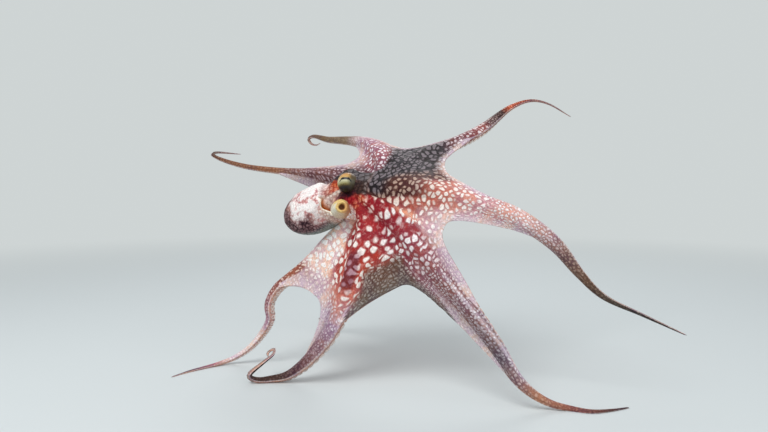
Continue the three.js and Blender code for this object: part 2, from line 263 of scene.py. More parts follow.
arm_lines = []
arm_widths = []
for (widths, twist, route), bearing in zip(ARMS.values(), BEARINGS):
    root = MOUTH + CROWN_RADIUS * (DORSAL * np.cos(bearing) + RIGHT * np.sin(bearing))
    arm_lines.append(carry([root, *route], TAILWARD, twist))
    arm_widths.append(spline([[width] for width in [*widths, TIP_HALF_WIDTH]], even=True)[:, 0])
body_line = carry([MOUTH - BODY_LEAD * TAILWARD, MOUTH, *BODY_ROUTE], DORSAL)


def body_station(behind):
    """Place, up and side on the body's line at distances behind the mouth."""
    return station(body_line, np.asarray(behind) + BODY_LEAD)


def half_width(k, along):
    shares = np.linspace(0, 1, len(arm_widths[k]))
    width = np.interp(along / arm_lines[k]["length"], shares, arm_widths[k])
    return np.maximum(TIP_HALF_WIDTH, width)[..., None]


# ---- Skin ----
# One skin covers the whole animal without a seam: the eight arms and the webs of thin skin between them,
# which run out along the arms as narrowing hems, then the crown, the head with a lidded socket at each
# eye, and the mantle, a bag that is open round the neck below and grown to it above.
NOTCH_ROWS = 44
HEM_ROWS = 40
FIRST_ROW = 8  # from an arm's root, where the skin turns from the arm to the crown
FREE_STEP = 2.3
BACK_COLUMNS = 6  # on each half of an arm's back
BELLY_COLUMNS = 5
WEB_COLUMNS = 10  # on each half of a web
BACK_ANGLE = 20  # where the web leaves the arm's back and its belly, from the arm's side
BELLY_ANGLE = -15
BELLY_COLOURED = (-5, -50)  # over which the free arm turns from its back's colours to its belly's
COLUMN_CROWDING = 1.3
EDGE_CROWDING = 2
EDGE_POWER = 3  # how late a web's edge swings away from the arms to its notch
WEBS = [  # reach along the arm before it and the arm after it, distance to the notch, sag
    ((150, 150), 103, 0), ((220, 190), 115, 0), ((265, 142), 122, 14), ((235, 165), 139, 4),
    ((150, 150), 95, 5), ((150, 190), 115, 5), ((150, 140), 90, 0), ((140, 200), 86, 0)]
WEB_THICKNESS = 2.2
WEB_EDGE_THICKNESS = 1.2
WEB_SET_ASIDE = 0.72
WEB_SET_OUT = 0.2
HEM_END_ASIDE = 1.0  # where a hem runs out on the arm's own side, in half widths
HEM_LEAST = 0.02
FILLET_COLUMNS = 5  # beside each arm, over which it runs softly into its webs
FILLET_SOFTNESS = (0.85, 0.5)  # near the mouth, and out along the arm
FILLET_FADES = (70, 120)
CROWN_SPREAD = 22
LEAST_SOFTNESS = 0.15
ROOT_SOFTNESS = 0.8
ROOT_FADES = (95, 45)
FIRM_ROOT = 4  # the arm whose root keeps more of its own shape
FIRM_SHARE = 0.7
FIRM_SPREAD = 0.6

# What is known of a point: its arm, counted from 0 with each web between two whole numbers; how far it lies
# along the arm, behind the mouth, and aside from the arm's middle; and shares from 0 to 1 for the inner face,
# the way out to a web's edge, the mantle's hollow and its rim, the way along the funnel, and softness.
FACTS = ["arm", "along", "behind", "under", "out", "aside", "pocket", "rim", "funnel", "soft"]
skin_points = []
skin_facts = []
skin_faces = []


def add_points(points, **facts):
    """Adds points to the skin with what is known of each of them, and returns their numbers."""
    start = sum(len(block) for block in skin_points)
    skin_points.append(points.reshape(-1, 3))
    known = [np.broadcast_to(facts.get(name, 0.0), points.shape[:-1]).ravel() for name in FACTS]
    skin_facts.append(np.stack(known, -1))
    return np.arange(start, start + len(skin_points[-1])).reshape(points.shape[:-1])


def add_faces(grid):
    """Faces between the rows and columns of a grid of point numbers, without those that have no area."""
    quads = np.stack([grid[:-1, :-1], grid[:-1, 1:], grid[1:, 1:], grid[1:, :-1]], -1).reshape(-1, 4)
    repeated = quads == np.roll(quads, 1, axis=1)
    skin_faces.extend(quads[repeated.sum(1) == 0].tolist())
    narrow = repeated.sum(1) == 1
    skin_faces.extend(quads[narrow][~repeated[narrow]].reshape(-1, 3).tolist())


def join_rings(count, *rings):
    """Joins rings of points by faces. A single point stands for a ring that has closed."""
    rows = np.vstack([np.broadcast_to(ring, (1, count)) if np.size(ring) == 1 else ring for ring in rings])
    add_faces(np.hstack([rows, rows[:, :1]]))
    return rows


def root_ring(grids):
    """The first rows of all the arms' grids as one ring, and which arm each of its points is on."""
    arms = [k + np.linspace(-0.5, 0.5, grid.shape[1])[:-1] for k, grid in enumerate(grids)]
    return np.concatenate([grid[0, :-1] for grid in grids]), np.concatenate(arms)


def web_at(k, across, along):
    """Middle of web k's thickness, its outward direction, and its share of the way out to the edge."""
    reach, notch, sag = WEBS[k]
    sides = []
    for arm, sign, share in ((k, 1, across), ((k + 1) % len(ARMS), -1, 1 - across)):
        at, up, side = station(arm_lines[arm], along)
        width = half_width(arm, along)
        spare = np.clip(1 - 2 * share, 0, 1)[..., None]
        aside = mix(WEB_SET_ASIDE, HEM_END_ASIDE, spare)
        sides.append((at + side * sign * width * aside + up * width * WEB_SET_OUT * (1 - 0.5 * spare), up))
    (near, near_up), (far, far_up) = sides
    edge = notch + (np.where(across < 0.5, *reach) - notch) * np.abs(2 * across - 1) ** EDGE_POWER
    out = np.clip(along / edge, 0, 1)
    up = unit(mix(near_up, far_up, across[..., None]))
    hollow = sag * np.sin(np.pi * across) * np.sin(np.pi / 2 * out)
    return mix(near, far, across[..., None]) - up * hollow[..., None], up, out


def web_face(k, across, along, face):
    """A point on the outer face of web k, where face is 1, or on its inner face, where it is -1."""
    middle, up, out = web_at(k, across, along)
    return middle + face * up * 0.5 * mix(WEB_THICKNESS, WEB_EDGE_THICKNESS, out)[..., None], out


def arm_face(k, along, degrees):
    """A point of an arm's own round surface, at an angle from its side towards its back."""
    at, up, side = station(arm_lines[k], along)
    turn = np.radians(degrees)[..., None]
    height = np.where(turn > 0, ABORAL_HEIGHT, ORAL_HEIGHT)
    return at + half_width(k, along) * (side * np.cos(turn) + up * np.sin(turn) * height)


def arm_rows(k):
    """For both sides of arm k: how far out each row of points lies on the arm, how far out it lies on the
    web's edge, and the share of the web that the arm's own half of it spans there."""
    ends = [(WEBS[k - 1][0][1], WEBS[k - 1][1]), (WEBS[k][0][0], WEBS[k][1])]
    last = max(reach for reach, _ in ends)
    free = np.arange(last + FREE_STEP, arm_lines[k]["length"] - 0.5 * FREE_STEP, FREE_STEP)
    sides = []
    for reach, notch in ends:
        inner = np.linspace(FIRST_ROW, notch, NOTCH_ROWS + 1)
        on_arm = np.concatenate([inner, np.linspace(notch, last, HEM_ROWS + 1)[1:], free])
        spent = np.clip((on_arm - notch) / (reach - notch), 0, 1)
        on_edge = np.where(spent < 1, notch + (reach - notch) * spent**EDGE_CROWDING, on_arm)
        on_edge = np.where(on_arm > notch, on_edge, on_arm)
        sides.append((on_arm, on_edge, 0.5 - 0.5 * spent ** (EDGE_CROWDING / EDGE_POWER)))
    return sides


def arm_grid(k, face, columns, middle_angle, web_angle):
    """Adds the points of one face of arm k and of its halves of the webs on both sides of it."""
    rows = arm_rows(k)
    share = np.linspace(-1, 1, 2 * columns + 1)
    along = mix(rows[0][0][:, None], rows[1][0][:, None], 0.5 + 0.5 * share)
    angle = np.broadcast_to(middle_angle + (web_angle - middle_angle) * share, along.shape)
    step = (np.arange(1, WEB_COLUMNS + 1) / WEB_COLUMNS) ** COLUMN_CROWDING
    parts = [(arm_face(k, along, angle), along * 0 + k, along, along * 0)]
    for sign, (on_arm, on_edge, span) in zip((-1, 1), rows):
        far = mix(on_arm[:, None], on_edge[:, None], step)
        aside = span[:, None] * step
        web, across = (k, aside) if sign > 0 else (k - 1, 1 - aside)
        points, out = web_face(web, across, far, face)
        foot = on_arm[:, None]
        start, _ = web_face(web, np.full_like(foot, float(sign < 0)), foot, face)
        end_angle = np.full_like(foot, middle_angle + sign * (web_angle - middle_angle))
        spare = arm_face(k, foot, end_angle) - start
        part = (points + spare * (1 - step)[:, None], k + sign * aside, far, out)
        if sign < 0:
            parts.insert(0, [value[:, ::-1] for value in part])
        else:
            parts.append(part)
    points, arm, along, out = [np.concatenate(values, 1) for values in zip(*parts)]
    from_middle = np.abs(np.arange(points.shape[1]) - columns - WEB_COLUMNS)
    rim = (from_middle == columns + WEB_COLUMNS) & (out >= 1)
    fillet = (np.abs(from_middle - columns - 1) < FILLET_COLUMNS) * (out[:, [0, -1]].min(1) > 0)[:, None]
    fillet = fillet * mix(*FILLET_SOFTNESS, ease(*FILLET_FADES, along))
    crown = bell(along, 0, CROWN_SPREAD)
    root = ROOT_SOFTNESS * ease(*ROOT_FADES, along) * (1 - FIRM_SHARE * bell(arm, FIRM_ROOT, FIRM_SPREAD))
    soft = np.where(rim, 0, np.maximum.reduce([fillet + LEAST_SOFTNESS, crown, root]))
    steps = np.linalg.norm(np.diff(points, axis=1), axis=-1)
    aside = np.concatenate([steps[:, :1] * 0, np.cumsum(steps, 1)], 1)
    aside = aside - aside[:, [points.shape[1] // 2]]
    hemmed = np.minimum(rows[0][2], rows[1][2])[:, None] > HEM_LEAST
    angle = np.pad(angle, ((0, 0), (WEB_COLUMNS,) * 2), "edge")
    under = (face < 0) * np.where(hemmed, 1, ease(*BELLY_COLOURED, angle))
    numbers = add_points(points, arm=arm, along=along, out=out, under=under, aside=aside, soft=soft)
    return numbers, [span <= 0 for _, _, span in rows]


tops = []
bottoms = []
whole_grids = []
for k, line in enumerate(arm_lines):
    top, ended = arm_grid(k, 1, BACK_COLUMNS, 90, BACK_ANGLE)
    bottom, _ = arm_grid(k, -1, BELLY_COLUMNS, -90, BELLY_ANGLE)
    whole_grids.append((top.copy(), bottom.copy()))
    for left, rows in zip((True, False), ended):
        for grid in (top, bottom):
            hem = slice(0, WEB_COLUMNS) if left else slice(-WEB_COLUMNS, None)
            grid[rows, hem] = top[rows][:, :1] if left else top[rows][:, -1:]
    tip = add_points(line["at"][-1:], arm=k, along=line["length"])
    tops.append(np.vstack([top, np.broadcast_to(tip, (1, top.shape[1]))]))
    bottoms.append(np.vstack([bottom, np.broadcast_to(tip, (1, bottom.shape[1]))]))
joined = slice(0, NOTCH_ROWS + 1)
for grids in (tops, bottoms):
    for k in range(len(ARMS)):
        grids[k][joined, 0] = grids[k - 1][joined, -1]
for top, bottom in zip(tops, bottoms):
    add_faces(top)
    add_faces(bottom[:, ::-1])
    add_faces(np.stack([bottom[NOTCH_ROWS:, 0], top[NOTCH_ROWS:, 0]], 1))
    add_faces(np.stack([top[NOTCH_ROWS:, -1], bottom[NOTCH_ROWS:, -1]], 1))

# The body's rings have a point for every column of the arms' backs.
HEAD_SECTIONS = [[2, 23.5, 24.5], [12, 24, 26], [22, 22, 25], [33, 21, 23.5], [44, 20.5, 21], [54, 20, 20],
                 [62, 19.5, 19.5]]  # from the mouth, half width, half height
CROWN_ROWS = 8
HEAD_START = 18
HEAD_END = 56
HEAD_STEP = 1.25
EYE_BACK = 34
EYE_UP = 22
TURRET_OUT = 11
TURRET_RADIUS = 17
TURRET_BLEND = 5
EYEBALL_OUT = 15.5
EYE_RAISED = 1.3  # the eye sits a little above, ahead and proud of the place that the frame gives it
EYE_FORWARD = 3.2
EYE_PROUD = 0.8
BROW_UP = 7.2  # the full brow over each eye, from the eye's middle
BROW_IN = 4
BROW_FORWARD = 3
BROW_RADIUS = 15.3
BROW_BLEND = 4
LID_RADIUS = 15
LID_BLEND = 2.5
LID_ANGLES = (72, 84)  # from the eye's axis, over which the lid comes up out of the socket
LID_SAG = 34  # and how much further from it below the eye
LID_DRAWN = 14  # and ahead of it
LID_TURN = (0, 0.9)  # cosines from level, over which the lid comes to that
SOCKET_RADIUS = 11
THROAT_BEHIND = 33  # the fullness under the head, between the funnel and the arms
THROAT_DROP = 20
THROAT_ASIDE = 5
THROAT_RADIUS = 19
THROAT_BLEND = 6
CROWN_BLEND = 9  # behind the crown's edge
NECK_GROWN = [[56, 20.2], [58.5, 21.6], [61, 25], [63.5, 28.4], [67, 31]]  # from the mouth, half width
NECK_OPEN = [[56, 20.2], [60, 18.6], [65, 18], [69, 18.8], [70.5, 21], [69, 23.6], [64, 25], [59.6, 25.6],
             [57.6, 26.6], [57.2, 28], [58.6, 29.2], [61.5, 30], [67, 31]]
NECK_ROWS = 30
NECK_HEIGHT = 0.97
OPENING = (68, 88)  # bearings from the crown between which the mantle comes away from the neck
RIM_DRAWN = 6.5  # beside the funnel the mantle's edge is drawn back, and the hollow behind it shows
RIM_DRAWN_AT = 106
RIM_DRAWN_SPREAD = 20
RIM_DRAWN_FROM = (0, 0.4)  # shares of the way from the neck into the mantle
RIM_DRAWN_TO = (1, 0.75)
RIM_LED = 4  # below the neck it reaches further forward
RIM_LED_AT = (125, 150)
POCKET_AT = [0.08, 0.2, 0.52, 0.57]  # shares of the way from the neck into the mantle
RIM_AT = [0.5, 0.57, 0.78, 0.86]
MANTLE_SECTIONS = [[67, 31, 30], [81, 32.5, 31.5], [95, 32.5, 31.5], [109, 30.5, 29.5], [122, 26, 25],
                   [132, 19, 18.5], [139, 11, 10.5], [142.5, 4, 4], [143.1, 1.2, 1.2]]
MANTLE_ROWS = 46
MANTLE_END = 144.0

crown_edge, columns = root_ring(tops)
bearings = np.radians(FIRST_BEARING + ARM_SPACING * columns)


def body_point(behind, width, height):
    """A ring round the body line for each distance behind the mouth, and the line's own points."""
    at, up, side = [value[:, None] for value in body_station(behind)]
    across = up * (height * np.cos(bearings))[..., None] - side * (width * np.sin(bearings))[..., None]
    return at + across, at


def swell(points, axis, centre, radius, softness):
    """Pushes points out from the axis onto a ball, blended into what lies round it."""
    arm = np.linalg.norm(points - axis, axis=-1, keepdims=True)
    ray = (points - axis) / arm
    toward = dot(centre - axis, ray)
    inside = radius**2 - dot(centre - axis, centre - axis) + toward**2
    hit = np.where((inside > 0) & (toward > 0), toward + np.sqrt(np.maximum(inside, 0)), 0)
    share = np.clip(0.5 + 0.5 * (hit - arm) / softness, 0, 1)
    return axis + ray * (mix(arm, hit, share) + softness * share * (1 - share))


eye_line, eye_up, eye_side = body_station(EYE_BACK)
eye_tilt = math.radians(EYE_UP)
eye_axes = {name: unit(eye_side * sign * math.cos(eye_tilt) + eye_up * math.sin(eye_tilt))
            for name, sign in (("right", -1), ("left", 1))}
eye_seats = {name: eye_line + direction * EYEBALL_OUT for name, direction in eye_axes.items()}
eye_centres = {name: eye_seats[name] + eye_up * EYE_RAISED - TAILWARD * EYE_FORWARD + direction * EYE_PROUD
               for name, direction in eye_axes.items()}

head_spline = spline(HEAD_SECTIONS)
behind = np.arange(HEAD_START, HEAD_END + 0.1, HEAD_STEP)[:, None]
width, height = [np.interp(behind, head_spline[:, 0], head_spline[:, n]) for n in (1, 2)]
head, axis = body_point(behind[:, 0], width, height)
throat_at, throat_up, throat_side = body_station(THROAT_BEHIND)
for sign in (-1, 1):
    throat = throat_at - throat_up * THROAT_DROP + throat_side * sign * THROAT_ASIDE
    head = swell(head, axis, throat, THROAT_RADIUS, THROAT_BLEND)
for name, direction in eye_axes.items():
    head = swell(head, axis, eye_line + direction * TURRET_OUT, TURRET_RADIUS, TURRET_BLEND)
    brow = eye_centres[name] + eye_up * BROW_UP - direction * BROW_IN - TAILWARD * BROW_FORWARD
    head = swell(head, axis, brow, BROW_RADIUS, BROW_BLEND)
    head = swell(head, axis, eye_centres[name], LID_RADIUS, LID_BLEND)
    away = head - eye_centres[name]
    distance = np.linalg.norm(away, axis=-1, keepdims=True)
    angle = np.degrees(np.arccos(np.clip(dot(away, direction) / distance, -1, 1)))
    below = unit(-eye_up - direction * dot(-eye_up, direction))
    angle = angle - LID_SAG * ease(*LID_TURN, dot(away, below) / distance)
    angle = angle - LID_DRAWN * ease(*LID_TURN, -dot(away, TAILWARD) / distance)
    lidded = eye_centres[name] + away / distance * mix(SOCKET_RADIUS, distance, ease(*LID_ANGLES, angle))
    head = np.where(angle < LID_ANGLES[1], lidded, head)
head_rows = add_points(head, arm=columns, behind=behind, soft=bell(behind, HEAD_START, CROWN_BLEND))


def even_rows(profile, count):
    """A profile's points at even distances along it."""
    fine = spline(profile)
    run = np.concatenate([[0], np.cumsum(np.linalg.norm(np.diff(fine[:, :2], axis=0), axis=1))])
    return np.stack([np.interp(np.linspace(0, run[-1], count + 1), run, column) for column in fine.T])


grown = even_rows(NECK_GROWN, NECK_ROWS)[:, 1:, None]
opened = even_rows(NECK_OPEN, NECK_ROWS)[:, 1:, None]
round_bearing = np.degrees(np.abs((bearings + np.pi) % (2 * np.pi) - np.pi))
open_share = ease(*OPENING, round_bearing)
behind, width = mix(grown, opened, open_share)
way_in = (np.arange(1, NECK_ROWS + 1) / NECK_ROWS)[:, None]
drawn = bell(round_bearing, RIM_DRAWN_AT, RIM_DRAWN_SPREAD)
drawn = drawn * ease(*RIM_DRAWN_FROM, way_in) * ease(*RIM_DRAWN_TO, way_in)
behind = behind + RIM_DRAWN * drawn - RIM_LED * open_share * ease(*RIM_LED_AT, round_bearing)
pocket = open_share * np.interp(way_in, POCKET_AT, [0, 1, 1, 0])
rim = open_share * np.interp(way_in, RIM_AT, [0, 1, 1, 0])
place, up, side = body_station(behind)
round_neck = up * np.cos(bearings)[:, None] * NECK_HEIGHT - side * np.sin(bearings)[:, None]
neck = place + round_neck * width[..., None]
neck_rows = add_points(neck, arm=columns, behind=behind, pocket=pocket, rim=rim, soft=0.3)

behind, width, height = even_rows(MANTLE_SECTIONS, MANTLE_ROWS)[:, 1:, None]
mantle_rows = add_points(body_point(behind[:, 0], width, height)[0], arm=columns, behind=behind, soft=0.1)
mantle_tip = add_points(body_station([MANTLE_END])[0], behind=MANTLE_END)

share = (np.arange(1, CROWN_ROWS) / CROWN_ROWS)[:, None]
points = np.concatenate(skin_points)
crown = mix(points[crown_edge], points[head_rows[0]], share[..., None])
crown_rows = add_points(crown, arm=columns, behind=share * HEAD_START, soft=1.0)
body_rows = join_rings(len(columns), crown_edge, crown_rows, head_rows, neck_rows, mantle_rows, mantle_tip)

# The mouth lies at the middle of the arms, on their sucker side, in a low round lip.
MOUTH_DEPTH = -5
LIP = [[0.8, -5.5], [0.6, -6.5], [0.42, -7], [0.3, -7.5], [0.2, -9], [0.13, -8.6], [0.08, -6]]
mouth_edge, around = root_ring(bottoms)
ring = points[mouth_edge] - MOUTH
ring = ring - TAILWARD * dot(ring, TAILWARD)
mouth = np.array([MOUTH + ring * share + TAILWARD * depth for share, depth in LIP])
mouth_rows = add_points(mouth, arm=around, under=1.0, soft=0.2)
mouth_middle = add_points(MOUTH[None] + TAILWARD * MOUTH_DEPTH, under=1.0)
join_rings(len(around), mouth_edge, mouth_rows, mouth_middle)

# The funnel is a soft tapering tube that comes out between the head and the mantle's open edge, on the
# right side. The edge of the mantle gives way round it.
FUNNEL_BASE = np.array([-56.5, -3, 214.5])
FUNNEL_TIP = np.array([-52, -37, 219.5])
FUNNEL_PROFILE = [  # radius, along
    [0, 0], [9, 0], [12.3, 1.5], [12.4, 6], [11.6, 13], [10.2, 20], [8.8, 26], [7.6, 30], [6.8, 32],
    [6, 32.8], [5, 32.2], [4.1, 30.4], [3.6, 28], [3.3, 26], [2.4, 24.6], [0, 24]]
FUNNEL_ROWS = 60
FUNNEL_COLUMNS = 48
FUNNEL_MARK = 0.02  # the least share of the way along it, where the rest of the skin has nought
FUNNEL_ROOM = 1.6
FUNNEL_ENDS = np.array([[0], [24]])  # its middle points inside the body and at the bottom of its mouth
RIPPLES = [(0.025, 3, 1), (0.015, 7, 0)]  # depth, number round the funnel, turn
FUNNEL_FREE = 3  # along the funnel, where the mantle begins to give way
EDGE_BEHIND = 55  # what gives way lies this far behind the mouth, and this far from the body's line
EDGE_OUT = 21.5
SOFT_FROM = 0.5  # softness above which the skin is smoothed first, by itself
SOFT_SHARE = 0.8
SOFT_ROUNDS = 70
WHOLE_ROUNDS = 12

funnel_axis = unit(FUNNEL_TIP - FUNNEL_BASE)
across = unit(np.cross(funnel_axis, [0, 0, 1]))
turn = np.linspace(0, 2 * np.pi, FUNNEL_COLUMNS + 1)[:-1, None]
radial = across * np.cos(turn) + np.cross(funnel_axis, across) * np.sin(turn)
radius, along = even_rows(FUNNEL_PROFILE, FUNNEL_ROWS)[:, 1:-1, None]
ripple = 1 + sum(deep * np.sin(count * turn[:, 0] + start) for deep, count, start in RIPPLES)
tube = FUNNEL_BASE + along[..., None] * funnel_axis + (radius * ripple)[..., None] * radial
tube_rows = add_points(tube, funnel=np.linspace(FUNNEL_MARK, 1, len(tube))[:, None], soft=0.1)
tube_ends = add_points(FUNNEL_BASE + FUNNEL_ENDS * funnel_axis, funnel=np.array([FUNNEL_MARK, 1]))
join_rings(FUNNEL_COLUMNS, tube_ends[0], tube_rows, tube_ends[1])

points = np.concatenate(skin_points)
facts = dict(zip(FACTS, np.concatenate(skin_facts).T))
edges = np.unique(np.sort(np.concatenate(
    [np.stack([face, np.roll(face, 1)], 1) for face in skin_faces]), axis=1), axis=0)
near, far = edges.T
neighbours = np.bincount(edges.ravel(), minlength=len(points))[:, None]


def smooth(points, share, rounds):
    """Moves points towards the middle of their neighbours, each by its own share."""
    for _ in range(rounds):
        total = np.stack([np.bincount(near, points[far, n], len(points))
                          + np.bincount(far, points[near, n], len(points)) for n in range(3)], -1)
        points = mix(points, total / np.maximum(neighbours, 1), share[:, None])
    return points


offset = points - FUNNEL_BASE
run = dot(offset, funnel_axis)
spoke = offset - run * funnel_axis
radii, reaches = zip(*FUNNEL_PROFILE[2:9])
room = (np.interp(run[:, 0], reaches, radii) + FUNNEL_ROOM)[:, None]
gives_way = (facts["behind"] > EDGE_BEHIND) & (facts["funnel"] == 0) & (run[:, 0] > FUNNEL_FREE)
middles = body_station(facts["behind"])[0]
gives_way &= np.linalg.norm(points - middles, axis=1) > EDGE_OUT
distance = np.maximum(np.linalg.norm(spoke, axis=1, keepdims=True), 0.01)
pushed = points + spoke / distance * np.maximum(room - distance, 0)
points = np.where(gives_way[:, None], pushed, points)
points = smooth(points, np.where(facts["soft"] > SOFT_FROM, SOFT_SHARE * facts["soft"], 0), SOFT_ROUNDS)
points = smooth(points, np.minimum(facts["soft"], SOFT_FROM), WHOLE_ROUNDS)

eye_solid = np.array(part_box("eye_right")[0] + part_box("eye_right")[1]) / 2
SHIFT = eye_solid * 1000 - eye_seats["right"]
points = points + SHIFT
points[:, 2] = np.maximum(points[:, 2], 0)

used = np.unique(np.concatenate([np.array(face) for face in skin_faces]))
renumber = np.zeros(len(points), int)
renumber[used] = np.arange(len(used))
mesh = bpy.data.meshes.new("skin")
faces = [[int(renumber[n]) for n in face] for face in skin_faces]
mesh.from_pydata((points[used] / 1000).tolist(), [], faces)
skin = bpy.data.objects.new("skin", mesh)
scene.collection.objects.link(skin)
bpy.context.view_layer.objects.active = skin
skin.select_set(True)
bpy.ops.object.mode_set(mode="EDIT")
bpy.ops.mesh.select_all(action="SELECT")
bpy.ops.mesh.normals_make_consistent(inside=False)
bpy.ops.object.mode_set(mode="OBJECT")
bpy.ops.object.shade_smooth()

